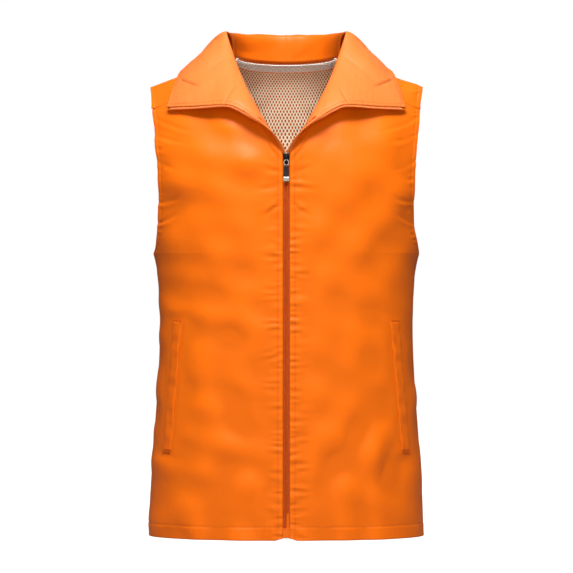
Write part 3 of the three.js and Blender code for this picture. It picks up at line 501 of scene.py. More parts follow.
def joined(parts: Sequence[tuple[Array, list[Array]]]) -> tuple[Array, list[Array]]:
    """One set of points and faces from several."""
    starts = np.cumsum([0, *(len(points) for points, _ in parts)])
    faces = [face + start for (_, group), start in zip(parts, starts) for face in group]
    return np.concatenate([points for points, _ in parts]), faces


def evenly(curve: Array, fine: float, coarse: float, head: float = 0.0, tail: float = 0.0) -> Array:
    """Places along a curve of points, as fractions of its list, spaced by real length.

    The step is fine within head of the start and within tail of the end, and coarse between.

    Args:
        curve: points along the curve, evenly numbered.
        fine: step near the ends, in millimetres.
        coarse: step between them.
        head: length of the fine stretch at the start.
        tail: length of the fine stretch at the end.

    Returns:
        Fractions from 0 to 1 of the curve's list.
    """
    length = arc(curve, 0)
    total = length[-1]
    stops = [np.linspace(0.0, head, max(2, round(head / fine) + 1))] if head else [np.zeros(1)]
    middle = total - head - tail
    stops.append(head + np.linspace(0.0, middle, max(2, round(middle / coarse) + 1))[1:])
    if tail:
        stops.append(total - tail + np.linspace(0.0, tail, max(2, round(tail / fine) + 1))[1:])
    return np.interp(np.concatenate(stops), length, np.linspace(0.0, 1.0, len(curve)))


class Cloth:
    """A surface of cloth on a grid: its points, outward normals and distances from its edges."""

    def __init__(self, points: Array, outwards: Array) -> None:
        """Measures the grid.

        Args:
            points: grid of points, columns by rows by 3.
            outwards: a direction, or one for each point, that the normals should follow.
        """
        self.points = points
        self.outwards = outwards
        normals = grid_normals(points)
        self.turn = 1.0 if (normals * outwards).sum(-1).mean() >= 0 else -1.0
        self.normals = normals * self.turn
        self.across = arc(points, 0)
        self.along = arc(points, 1)

    @property
    def width(self) -> float:
        """Longest line across, in millimetres."""
        return float(self.across[-1].max())

    @property
    def length(self) -> float:
        """Longest line along, in millimetres."""
        return float(self.along[:, -1].max())

    def area(self) -> float:
        """Area of the surface in square metres."""
        p = self.points
        diagonals = np.cross(p[1:, 1:] - p[:-1, :-1], p[:-1, 1:] - p[1:, :-1])
        return float(np.linalg.norm(diagonals, axis=-1).sum() / 2 * MM * MM)

    def raised(self, height: Array) -> "Cloth":
        """The surface moved along its normals by a height at each point."""
        return Cloth(self.points + self.normals * np.asarray(height)[..., None], self.outwards)

    def inset(self, depth: float) -> "Cloth":
        """The surface moved inwards by a depth."""
        return self.raised(np.full(self.across.shape, -depth))

    def seam(self, edge: str, distance: float, rows: slice = slice(None)) -> tuple[Array, Array]:
        """A line on the surface at a distance from one edge.

        Args:
            edge: "start" or "end" of the columns, or "bottom" or "top" of the rows.
            distance: millimetres in from that edge.
            rows: which grid lines the seam crosses.

        Returns:
            Its points and the normals there.
        """
        if edge in ("start", "end"):
            lengths = self.across.T
            lines, normals = self.points.swapaxes(0, 1), self.normals.swapaxes(0, 1)
        else:
            lengths, lines, normals = self.along, self.points, self.normals
        lengths, lines, normals = lengths[rows], lines[rows], normals[rows]
        target = lengths[:, -1] - distance if edge in ("end", "top") else np.full(len(lengths), distance)
        column = np.array([np.interp(t, row, np.arange(len(row))) for t, row in zip(target, lengths)])
        low = np.clip(np.floor(column).astype(int), 0, lengths.shape[1] - 2)
        part = (column - low)[:, None]
        pick = np.arange(len(lengths))
        point = lerp(lines[pick, low], lines[pick, low + 1], part)
        return point, unit(lerp(normals[pick, low], normals[pick, low + 1], part))

    def sheet(
        self,
        room: Workroom,
        name: str,
        finish: Finish,
        thickness: float | Array,
        painted_shading: Array | None = None,
        rounding: float = 0.45,
        inner_painted_shading: float | Array = 1.0,
    ) -> bpy.types.Object:
        """Makes a closed sheet: this face, one behind it, and a rounded rim round the edge.

        Args:
            room: the workroom.
            name: the piece's name.
            finish: its cloth.
            thickness: distance between the two faces in millimetres, one or one for each grid point.
            painted_shading: brightness factor at each grid point, painted shade and light.
            rounding: how far the rim swells out, as a share of the thickness.
            inner_painted_shading: brightness of the face behind, as a share of the front's: painted
                shade of the inside.

        Returns:
            The object.
        """
        columns, rows = self.across.shape
        thick = np.broadcast_to(thickness, (columns, rows))
        front = self.points.reshape(-1, 3)
        back = (self.points - self.normals * thick[..., None]).reshape(-1, 3)
        number = np.arange(columns * rows).reshape(columns, rows)
        loop = np.concatenate([number[:-1, 0], number[-1, :-1], number[:0:-1, -1], number[0, :0:-1]])
        near_column = np.clip(loop // rows, 1, columns - 2)
        near_row = np.clip(loop % rows, 1, rows - 2)
        away = unit(front[loop] - front[number[near_column, near_row]])
        rim = (front[loop] + back[loop]) / 2 + away * (thick.ravel()[loop] * rounding)[:, None]
        count = len(front)
        face = np.stack([number[:-1, :-1], number[1:, :-1], number[1:, 1:], number[:-1, 1:]], -1)
        face = face.reshape(-1, 4)
        behind = face[:, ::-1] + count
        here, there = loop, np.roll(loop, -1)
        ring = np.arange(len(loop)) + 2 * count
        ring_next = np.roll(ring, -1)
        side_front = np.stack([there, here, ring, ring_next], -1)
        side_back = np.stack([ring_next, ring, here + count, there + count], -1)
        quads = np.concatenate([face, behind, side_front, side_back])
        if self.turn < 0:
            quads = quads[:, ::-1]
        flat = np.stack([self.across, self.along], -1).reshape(-1, 2) * MM
        uv = np.concatenate([flat, flat, flat[loop]])
        outer = np.broadcast_to(1.0 if painted_shading is None else painted_shading, (columns, rows)).ravel()
        inner = outer * np.broadcast_to(inner_painted_shading, (columns, rows)).ravel()
        level = np.concatenate([outer, inner, outer[loop]])
        return room.build(name, np.concatenate([front, back, rim]), [quads], finish, uv, level)

    def declare(self, obj: bpy.types.Object, held: str, rests_on: Sequence[str]) -> None:
        """States the sheet's flat size, measured along the surface before it is rumpled."""
        flat = (round(max(self.width, 10.0) * MM, 3), round(max(self.length, 10.0) * MM, 3))
        area = min(self.area(), flat[0] * flat[1])
        LOG.info("%s is cut %.3f by %.3f m, %.4f m2", obj.name, flat[0], flat[1], area)


def tube(
    room: Workroom,
    name: str,
    path: Array,
    radius: Array,
    sides: int,
    finish: Finish,
    reference: Array,
) -> bpy.types.Object:
    """A closed tube of varying radius along a path: a ring of points round each path point.

    Args:
        room: the workroom.
        name: the piece's name.
        path: points along the middle.
        radius: radius at each point, near 0 at the ends.
        sides: points in a ring.
        finish: what it is made of.
        reference: a direction that never lies along the path, one for each point or for all.

    Returns:
        The object.
    """
    tangent = unit(np.gradient(path, axis=0))
    side = unit(np.cross(tangent, reference))
    other = np.cross(side, tangent)
    angle = np.arange(sides) * TAU / sides
    ring = side[:, None] * np.cos(angle)[:, None] + other[:, None] * np.sin(angle)[:, None]
    points = path[:, None] + ring * np.asarray(radius)[:, None, None]
    faces = ring_faces(np.arange(len(path) * sides).reshape(len(path), sides))
    return room.build(name, points.reshape(-1, 3), [face[:, ::-1] for face in faces], finish)


@dataclass(frozen=True)
class Stitch:
    """One lockstitch: a short raised grain of thread, pointed at both ends."""

    pitch: float = 3.1
    length: float = 2.5
    radius: float = 0.27
    sink: float = 0.05

    def row(self, path: Array, normal: Array) -> tuple[Array, list[Array]]:
        """Stitches along a path at an even pitch.

        Each is four rings of four points, at -1, -0.6, 0.6 and 1 of its half length and with
        radii of 0.15, 1, 1 and 0.15 of its own, closed at both ends.

        Args:
            path: points along the seam.
            normal: outward normal at each point.

        Returns:
            Points, and the arrays of their faces.
        """
        run = arc(path, 0)
        count = max(1, int(run[-1] / self.pitch))
        at = (np.arange(count) + 0.5) * run[-1] / count
        middle = read_along(run, path, at)
        out = unit(read_along(run, normal, at))
        forward = unit(read_along(run, path, at + 0.5) - read_along(run, path, at - 0.5))
        side = unit(np.cross(forward, out))
        place = np.array([-1.0, -0.6, 0.6, 1.0]) * self.length / 2
        size = np.array([0.15, 1.0, 1.0, 0.15]) * self.radius
        angle = np.arange(4) * TAU / 4 + TAU / 8
        shape = (
            middle[:, None, None]
            + forward[:, None, None] * place[:, None, None]
            + side[:, None, None] * (size[:, None] * np.cos(angle))[..., None]
            + out[:, None, None] * (size[:, None] * np.sin(angle) - self.sink)[..., None]
        )
        ring = np.arange(4)
        near = np.arange(3)[:, None] * 4 + ring
        step = np.arange(3)[:, None] * 4 + np.roll(ring, -1)
        quads = np.stack([near, step, step + 4, near + 4], -1).reshape(-1, 4)
        caps = np.array([[3, 2, 1, 0], [12, 13, 14, 15]])
        template = np.concatenate([quads, caps])
        faces = (np.arange(count)[:, None, None] * 16 + template).reshape(-1, 4)
        return shape.reshape(-1, 3), [faces]


def sew(
    room: Workroom,
    name: str,
    seams: Sequence[tuple[Array, Array]],
    stitch: Stitch,
    finish: Finish = SEWING,
) -> bpy.types.Object:
    """Makes one piece of all the stitches along several seams."""
    points, faces = joined([stitch.row(path, normal) for path, normal in seams])
    return room.build(name, points, faces, finish)


# ---- The body's form ----------------------------------------------------------------------------


@dataclass(frozen=True)
class BodyForm:
    """The form that the vest is cut to: level sections are superellipses, and over the shoulders
    the cloth turns along a power curve of the drop below the ridge."""

    neck: Place = (75.0, 8.0, 680.0)
    tip_x: float = 193.0
    tip_z: float = 635.0
    underarm_x: float = 189.0
    underarm_z: float = 399.0
    waist_x: float = 179.5
    waist_z: float = 300.0
    hem_x: float = 194.5
    chest_x: float = 207.0
    chest_z: float = 535.0
    front_depth: float = 125.0
    back_depth: float = 130.0
    power: float = 2.3
    front_armhole_x: float = 179.5
    back_armhole_x: float = 183.0
    toe: float = 60.0
    heel_z: float = 480.0
    v_point: float = 536.0
    nape_y: float = 80.0
    nape_z: float = 676.0
    cross_z: float = 652.0
    back_drop: float = 190.0
    turn_power: float = 0.7
    slot_x: float = 5.2
    corner: Place = (85.5, -5.0, 713.0)
    roll_bow: float = 10.5
    v_rise: float = 0.375
    foot_rise: float = 2.6
    pocket_top: tuple[float, float] = (152.0, 302.0)
    pocket_bottom: tuple[float, float] = (167.0, 123.0)

    def half_width(self, z: Array) -> Array:
        """Half width of the level section at each height."""
        skirt = lerp(self.hem_x, self.waist_x, ease(np.clip(z / self.waist_z, 0, 1)))
        ribs = lerp(self.waist_x, self.underarm_x, ramp(z, self.waist_z, self.underarm_z) ** 3)
        chest = lerp(self.underarm_x, self.chest_x, ease(ramp(z, self.underarm_z, self.chest_z)))
        return np.where(z <= self.waist_z, skirt, np.where(z <= self.underarm_z, ribs, chest))

    def armhole(self, z: Array, narrowest: float) -> Array:
        """Half width at the armhole's edge: it turns out to the side seam and to the shoulder."""
        left = 1 - ramp(z, self.underarm_z, self.underarm_z + self.toe)
        toe = (self.underarm_x - narrowest) * left**3
        heel = (self.tip_x - narrowest) * ramp(z, self.heel_z, self.tip_z) ** 1.5
        return narrowest + toe + heel

    def ridge_z(self, x: Array) -> Array:
        """Height of the shoulder ridge."""
        return lerp(self.neck[2], self.tip_z, ramp(x, self.neck[0], self.tip_x))

    def ridge_y(self, x: Array) -> Array:
        """Depth of the shoulder ridge."""
        return lerp(self.neck[1], 0.0, ramp(x, self.neck[0], self.tip_x))

    def over_shoulder(self, drop: Array, reach: float) -> Array:
        """Share of the full depth reached at a drop below the ridge."""
        t = np.clip(drop / reach, 0, 1)
        return (1 - (1 - t) ** 2) ** self.turn_power

    def depth(self, x: Array, z: Array, full: float) -> Array:
        """Depth of the level section at a distance from the middle."""
        share = np.clip(x / self.half_width(z), 0, 1)
        return full * (1 - share**self.power) ** (1 / self.power)

    def front_y(self, x: Array, z: Array) -> Array:
        """The front's surface."""
        out = self.over_shoulder(self.ridge_z(x) - z, self.neck[2] - self.v_point)
        return self.ridge_y(x) - (self.ridge_y(x) + self.depth(x, z, self.front_depth)) * out

    def back_top_y(self, x: Array) -> Array:
        """The back's upper edge: round the neck, then along the ridge."""
        share = np.clip(x / self.neck[0], 0, 1)
        neck = self.neck[1] + (self.nape_y - self.neck[1]) * np.sqrt(1 - share**2)
        return np.where(x >= self.neck[0], self.ridge_y(x), neck)

    def back_top_z(self, x: Array) -> Array:
        """Height of the back's upper edge."""
        share = np.clip(x / self.neck[0], 0, 1)
        return np.where(x >= self.neck[0], self.ridge_z(x), lerp(self.nape_z, self.neck[2], share**2))

    def back_y(self, x: Array, z: Array) -> Array:
        """The back's surface; below its edge the neck's curve is averaged ever wider and fades out."""
        drop = self.back_top_z(x) - z
        out = self.over_shoulder(drop, self.back_drop)
        reach = np.clip(drop, 0.0, 60.0) * 0.75
        steps = np.linspace(-1.0, 1.0, 33)
        top = sum(self.back_top_y(np.abs(x + reach * k)) * (1.1 - abs(k)) for k in steps)
        top = top / sum(1.1 - abs(k) for k in steps)
        return top + (self.depth(x, z, self.back_depth) - top) * out

    def pocket_x(self, z: Array) -> Array:
        """Distance of the pocket's slanted middle line from the middle of the vest."""
        (top_x, top_z), (bottom_x, bottom_z) = self.pocket_top, self.pocket_bottom
        return lerp(bottom_x, top_x, ramp(z, bottom_z, top_z))

    def roll_x(self, z: Array) -> Array:
        """Half width of the roll line, bowed between the top of the closed zip and the collar corner."""
        t = ramp(z, self.v_point, self.corner[2])
        return self.corner[0] * t + self.roll_bow * 4 * t * (1 - t)

    def roll_point(self, z: Array) -> Array:
        """Points of the roll line."""
        x = np.maximum(self.roll_x(z), self.slot_x)
        cross_z = np.array(self.cross_z)
        cross_y = self.front_y(self.roll_x(cross_z), cross_z)
        high = lerp(cross_y, self.corner[1], ramp(z, self.cross_z, self.corner[2]))
        y = np.where(z <= self.cross_z, self.front_y(x, z), high)
        return np.stack([x, y, z], -1)

    def front_inner_x(self, z: Array) -> Array:
        """Inner edge of the front: the zip slot, the roll line, then the neckline seam."""
        cross_x = float(self.roll_x(np.array(self.cross_z)))
        seam = lerp(cross_x, self.neck[0], ramp(z, self.cross_z, self.neck[2]))
        rolled = np.maximum(self.slot_x, self.roll_x(z))
        return np.where(z <= self.v_point, self.slot_x, np.where(z <= self.cross_z, rolled, seam))

    def angle_share(self, angle: Array) -> Array:
        """Share of the half width at an angle round the superellipse."""
        return np.sin(angle) ** (2 / self.power)

    def share_angle(self, share: Array) -> Array:
        """Angle round the superellipse at a share of the half width."""
        return np.arcsin(np.clip(share, 0, 1) ** (self.power / 2))

    def front(self, column: Array, level: Array) -> Array:
        """Points of the wearer's left front.

        Args:
            column: 0 at the inner edge to 1 at the side seam or armhole.
            level: 0 at the hem, 1 at the underarm, 2 at the shoulder ridge.

        Returns:
            Points with the shape of the arguments and a last axis of 3.
        """
        z = np.clip(level, 0, 1) * self.underarm_z
        rise = np.clip(level - 1, 0, 1)
        low_part = lerp(self.underarm_z, self.v_point, rise / self.v_rise)
        high_part = lerp(self.v_point, self.neck[2], (rise - self.v_rise) / (1 - self.v_rise))
        inner_z = np.where(level <= 1, z, np.where(rise <= self.v_rise, low_part, high_part))
        outer_z = np.where(level <= 1, z, lerp(self.underarm_z, self.tip_z, rise))
        inner_x = self.front_inner_x(inner_z)
        outer_x = np.where(level <= 1, self.half_width(z), self.armhole(outer_z, self.front_armhole_x))
        low = self.share_angle(inner_x / self.half_width(inner_z))
        high = self.share_angle(outer_x / self.half_width(outer_z))
        start = self.angle_share(low)
        spread = (self.angle_share(lerp(low, high, column)) - start) / (self.angle_share(high) - start)
        x = lerp(inner_x, outer_x, spread)
        height = lerp(inner_z, outer_z, spread)
        y = np.where(rise >= 1, self.ridge_y(x), self.front_y(x, height))
        lifted = height + self.foot_rise * ease(ramp(x, 16.0, 7.0)) * ramp(height, 20.0, 0.0)
        return np.stack([x, y, lifted], -1)

    def back(self, column: Array, level: Array) -> Array:
        """Points of the back; column runs from -1 at the right side to 1 at the left."""
        a = np.abs(column)
        z = np.clip(level, 0, 1) * self.underarm_z
        rise = np.clip(level - 1, 0, 1)
        outer_z = np.where(level <= 1, z, lerp(self.underarm_z, self.tip_z, rise))
        outer_x = np.where(level <= 1, self.half_width(z), self.armhole(outer_z, self.back_armhole_x))
        high = self.share_angle(outer_x / self.half_width(outer_z))
        across = self.angle_share(high * a) / self.angle_share(high)
        x = outer_x * lerp(across, a, ease(rise))
        height = np.where(level <= 1, z, lerp(self.underarm_z, self.back_top_z(x), rise))
        y = np.where(rise >= 1, self.back_top_y(x), self.back_y(x, height))
        return np.stack([x * np.sign(column), y, height], -1)


BODY = BodyForm()
YOKE_LEVEL = 1.86


class Side(Enum):
    """The wearer's two sides, with the sign of X."""

    LEFT = 1.0
    RIGHT = -1.0

    @property
    def word(self) -> str:
        """The side's name in piece names."""
        return self.name.lower()

    def place(self, points: Array) -> Array:
        """Mirrors points of the left side onto this one."""
        return points * np.array([self.value, 1.0, 1.0])

    def cloth(self, points: Array, outwards: Array) -> Cloth:
        """A cloth of the left side's points, placed on this side."""
        return Cloth(self.place(points), self.place(np.asarray(outwards, dtype=float)))


def level_places(form: Form, column: float, low: float, high: float, *steps: float) -> Array:
    """Levels between low and high, spaced by real length along one column, as evenly spaces them."""
    levels = np.linspace(low, high, 1500)
    curve = form(np.full_like(levels, column), levels)
    return low + (high - low) * evenly(curve, *steps)


def column_places(form: Form, level: float, low: float, high: float, *steps: float) -> Array:
    """Columns between low and high, spaced by real length along one level, as evenly spaces them."""
    columns = np.linspace(low, high, 1500)
    curve = form(columns, np.full_like(columns, level))
    return low + (high - low) * evenly(curve, *steps)


def body_cloth(form: Form, columns: Array, levels: Array, side: Side) -> Cloth:
    """The body's surface on a grid of columns and levels, with outward normals."""
    grid = form(*np.meshgrid(columns, levels, indexing="ij"))
    outwards = grid * np.array([1.0, 1.0, 0.0]) + np.array([0.0, 0.0, 40.0])
    return side.cloth(grid, outwards)


# ---- Shell --------------------------------------------------------------------------------------


@dataclass
class Shell:
    """Front panels, yokes and back panel, with their seams, puckers, soft folds and stitching."""

    room: Workroom
    thickness: float = 0.75
    # Painted shade: brightness of the back panel's inner face, darkened for the shade inside the vest.
    inner_painted_shading: float = 0.7
    placket_stitch: float = 6.8
    hem_stitch: float = 18.0
    armhole_stitch: float = 6.6
    pucker: float = 0.8
    deepest: float = 1.5
    chest_rise: float = 5.5
    slider_drags: tuple[tuple[float, float], ...] = (
        (0, 22),
        (-16, -10),
        (-34, -42),
        (10, 52),
        (-58, -80),
    )
    armhole_drags: tuple[Place, ...] = (
        (590, 132, -22),
        (566, 140, -14),
        (532, 150, -18),
        (470, 148, 6),
        (440, 152, 14),
    )
    seams: list[tuple[Array, Array]] = field(default_factory=list)

    def puckers(self, run: Array, away: Array, seed: int, length: float, reach: float) -> Array:
        """Small gathers beside a seam: uneven waves along it that fade with distance.

        Args:
            run: distance along the seam.
            away: distance from it.
            seed: seed of the unevenness.
            length: length of one gather.
            reach: how far they fade.

        Returns:
            Heights of about -1 to 1.
        """
        uneven = Ripples(seed, 42.0)
        wave = np.sin(TAU * run / length + 2.2 * uneven(run, away * 0.3))
        strength = 0.55 + 0.45 * Ripples(seed + 1, 30.0)(run, away * 0.2)
        return wave * strength * ridge(away, reach)

    def stitch_groove(self, away: Array, distance: float) -> Array:
        """The dip that a row of stitching pulls in, and the doubled cloth between it and the edge."""
        return -0.45 * ridge(away - distance, 1.2) + 0.45 * (1 - ramp(away, distance - 1.2, distance))

    def drag(
        self,
        x: Array,
        z: Array,
        start: tuple[float, float],
        end: tuple[float, float],
        width: float,
        bow: float,
    ) -> Array:
        """A soft crease along a bowed line: a dip with a swell above it, fading at both ends.

        Args:
            x: distance from the middle.
            z: height.
            start: where the crease begins.
            end: where it ends.
            width: half width of the dip.
            bow: how far its middle is bowed.

        Returns:
            Heights from about -1 to 0.6.
        """
        a, b = np.array(start), np.array(end)
        length = float(np.linalg.norm(b - a))
        ahead = (b - a) / length
        run = ((x - a[0]) * ahead[0] + (z - a[1]) * ahead[1]) / length
        off = -(x - a[0]) * ahead[1] + (z - a[1]) * ahead[0] - bow * 4 * run * (1 - run)
        fade = ramp(run, -0.1, 0.25) * ramp(run, 1.1, 0.6)
        return fade * (0.6 * ridge(off - 1.9 * width, 1.3 * width) - ridge(off, width))

    def front_height(self, cloth: Cloth, side: Side, lower: bool) -> Array:
        """Heights of a front's puckers and folds over its plain form."""
        p = cloth.points
        x, z = np.abs(p[..., 0]), p[..., 2]
        seed = 11 if side is Side.LEFT else 37
        placket = cloth.across
        armhole = cloth.across[-1] - cloth.across
        above = ramp(z, BODY.underarm_z - 6, BODY.underarm_z + 14)
        closed = 1 - ramp(z, BODY.v_point - 30, BODY.v_point + 10)
        height = np.zeros_like(z)
        height += closed * self.stitch_groove(placket, self.placket_stitch)
        height += closed * self.pucker * self.puckers(z, placket - 4, seed, 10.0, 9.0)
        height += closed * 0.7 * self.puckers(z, placket - 13, seed + 5, 19.0, 12.0)
        for number, (low, high) in enumerate(self.slider_drags):
            tip = (26.0 + 9 * (number % 3), BODY.v_point - 6 + high)
            height += 1.1 * self.drag(x, z, (7.0, BODY.v_point - 8 + low), tip, 2.4, -2.0)
        height += above * self.stitch_groove(armhole, self.armhole_stitch)
        height += above * 0.75 * self.puckers(z, armhole - 8, seed + 9, 9.5, 7.0) * ramp(armhole, 0, 7)
        for low, far, rise in self.armhole_drags:
            height += self.drag(x, z, (186.0, low), (far, low + rise), 2.8, 2.0)
        if lower:
            height += self.stitch_groove(z, self.hem_stitch)
            height += 0.35 * self.puckers(x * 1.2, z - 9, seed + 13, 14.0, 10.0)
        drape = Ripples(seed + 21, 46.0, lean=0.22)(x, z)
        fall = ramp(z, 430, 120) * ramp(placket, 6, 30) * (1 - ramp(x, 120, 170))
        height += 1.1 * drape * fall
        soft = Ripples(seed + 25, 70.0)(x, z)
        height += soft * ramp(placket, 6, 40)
        chest = ease(ramp(placket, 6, 60)) * (1 - ease(ramp(x, 106, 176)))
        height += self.chest_rise * chest * ease(ramp(z, 330, 450)) * (1 - ease(ramp(z, 500, 585)))
        pull_run = (x - 60) * 0.86 + (z - 560) * 0.5
        pull_side = -(x - 60) * 0.5 + (z - 560) * 0.86
        pulled = ridge(pull_side, 42) * ridge(pull_run - 70, 60)
        height += 0.9 * np.sin(pull_side / 9.0 + 0.4 * soft) * pulled
        height = self.shallow(height)
        if lower:
            under_welt = np.clip(1.9 * ridge(x - BODY.pocket_x(z), 14), 0, 1)
            height *= 1 - under_welt * ramp(z, 108, 120) * ramp(z, 318, 306)
        return height * ramp(cloth.along[:, -1:] - cloth.along, -1, 6)

    def shallow(self, height: Array) -> Array:
        """The heights with their dips bent off by a tanh, so that none reaches the layers inside."""
        return np.where(height < 0, self.deepest * np.tanh(height / self.deepest), height)

    def painted_shading(self, height: Array, *lines: tuple[Array, float]) -> Array:
        """Painted shade and light: deeper colour in the dips and in the grooves of the stitching, where
        shade falls, and slightly lighter colour on the raised cloth.

        Args:
            height: heights of the cloth's relief.
            lines: for each groove, distance from its edge and the distance at which it is sewn.

        Returns:
            Brightness factors.
        """
        # Painted light on the raised cloth and painted shade in its dips, then painted shade in each
        # stitch groove.
        level = np.clip(1.0 + 0.05 * height, 0.86, 1.06)
        for away, distance in lines:
            level = level * (1 - 0.2 * ridge(away - distance, 0.9))
        return level

    def front(self, side: Side) -> None:
        """One front panel and the yoke above it."""
        columns = column_places(BODY.front, 0.7, 0.0, 1.0, 1.4, 3.0, 24.0, 14.0)
        for name, low, high in (("front_panel", 0.0, YOKE_LEVEL), ("front_yoke", YOKE_LEVEL, 2.0)):
            lower = low == 0.0
            head = 24.0 if lower else 6.0
            levels = level_places(BODY.front, 0.5, low, high, 1.5, 2.5, head, 6.0)
            plain = body_cloth(BODY.front, columns, levels, side)
            height = self.front_height(plain, side, lower)
            if not lower:
                height += 0.9 * (1 - ramp(plain.along, 3.0, 9.0))
            cloth = plain.raised(height)
            armhole = plain.across[-1] - plain.across
            lines = [(armhole, self.armhole_stitch)]
            if lower:
                lines += [(plain.across, self.placket_stitch), (plain.along, self.hem_stitch)]
            else:
                lines += [(plain.along, 0.0), (plain.along, 1.8)]
            # Painted shade in the dips, the stitch grooves and along the yoke seam, painted light on the
            # raised cloth.
            painted_shading = self.painted_shading(height, *lines)
            piece = cloth.sheet(self.room, f"{name}_{side.word}_cloth", SHELL, self.thickness, painted_shading)
            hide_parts(f"{name}_{side.word}")
            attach(piece, "vest")
            beside = "front_yoke" if lower else "front_panel"
            plain.declare(piece, "stretched", [f"{beside}_{side.word}", "back_panel"])
            over = plain.points[0, :, 2]
            if lower:
                closed = over < BODY.v_point - 12
                self.seams.append(cloth.seam("start", self.placket_stitch, np.nonzero(closed)[0]))
                self.seams.append(cloth.seam("bottom", self.hem_stitch, slice(3, None)))
            outer = plain.points[-1, :, 2] > BODY.underarm_z + 2
            self.seams.append(cloth.seam("end", self.armhole_stitch, np.nonzero(outer)[0]))
            if not lower:
                self.seams.append(cloth.seam("bottom", 1.8))

    def back_height(self, cloth: Cloth) -> Array:
        """Heights of the back's puckers and folds."""
        p = cloth.points
        x, z = p[..., 0], p[..., 2]
        above = ramp(z, BODY.underarm_z - 6, BODY.underarm_z + 14)
        edge = np.minimum(cloth.across, cloth.across[-1] - cloth.across)
        height = self.stitch_groove(z, self.hem_stitch)
        height = height + 0.35 * self.puckers(x, z - 9, 61, 15.0, 10.0)
        height += above * self.stitch_groove(edge, self.armhole_stitch)
        height += above * 0.6 * self.puckers(z, edge - 8, 65, 9.5, 7.0) * ramp(edge, 0, 7)
        height += 0.8 * Ripples(69, 90.0, lean=0.3)(x, z) * ramp(z, 560, 200) * ramp(edge, 4, 40)
        height += 0.5 * Ripples(73, 110.0)(x, z) * ramp(edge, 4, 30)
        return self.shallow(height) * ramp(cloth.along[:, -1:] - cloth.along, -1, 6)

    def back(self) -> None:
        """The back panel."""
        columns = column_places(BODY.back, 0.7, -1.0, 1.0, 2.0, 3.3, 14.0, 14.0)
        levels = level_places(BODY.back, 0.6, 0.0, 2.0, 1.6, 3.0, 24.0, 20.0)
        plain = body_cloth(BODY.back, columns, levels, Side.LEFT)
        height = self.back_height(plain)
        cloth = plain.raised(height)
        edge = np.minimum(plain.across, plain.across[-1] - plain.across)
        # Painted shade in the dips, stitch grooves and hem, painted light on the raised cloth, and a
        # darker inner face as painted shade of the inside.
        painted_shading = self.painted_shading(height, (edge, self.armhole_stitch), (plain.along, self.hem_stitch))
        name = "back_panel_cloth"
        piece = cloth.sheet(self.room, name, SHELL, self.thickness, painted_shading, inner_painted_shading=self.inner_painted_shading)
        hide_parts("back_panel")
        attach(piece, "vest")
        beside = [f"{panel}_{side.word}" for panel in ("front_yoke", "front_panel") for side in Side]
        plain.declare(piece, "stretched", beside)
        self.seams.append(cloth.seam("bottom", self.hem_stitch))
        for edge, column in (("start", 0), ("end", -1)):
            outer = plain.points[column, :, 2] > BODY.underarm_z + 2
            self.seams.append(cloth.seam(edge, self.armhole_stitch, np.nonzero(outer)[0]))

    def make(self) -> None:
        """Builds the shell and the stitching on it."""
        for side in Side:
            self.front(side)
        self.back()
        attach(sew(self.room, "shell_stitching", self.seams, Stitch()), "vest")


# ---- Inside: linings, facings and pocket bags -----------------------------------------------------


@dataclass(frozen=True)
class Knit:
    """A net's cells: pitch across and up, the hole's share of a cell, how deep it hangs, its yarn."""

    hole_pitch: float
    row_pitch: float
    opening: float
    depth: float
    yarn: SpunThread
    wobble: float = 0.3
    hole_height: float = 0.86


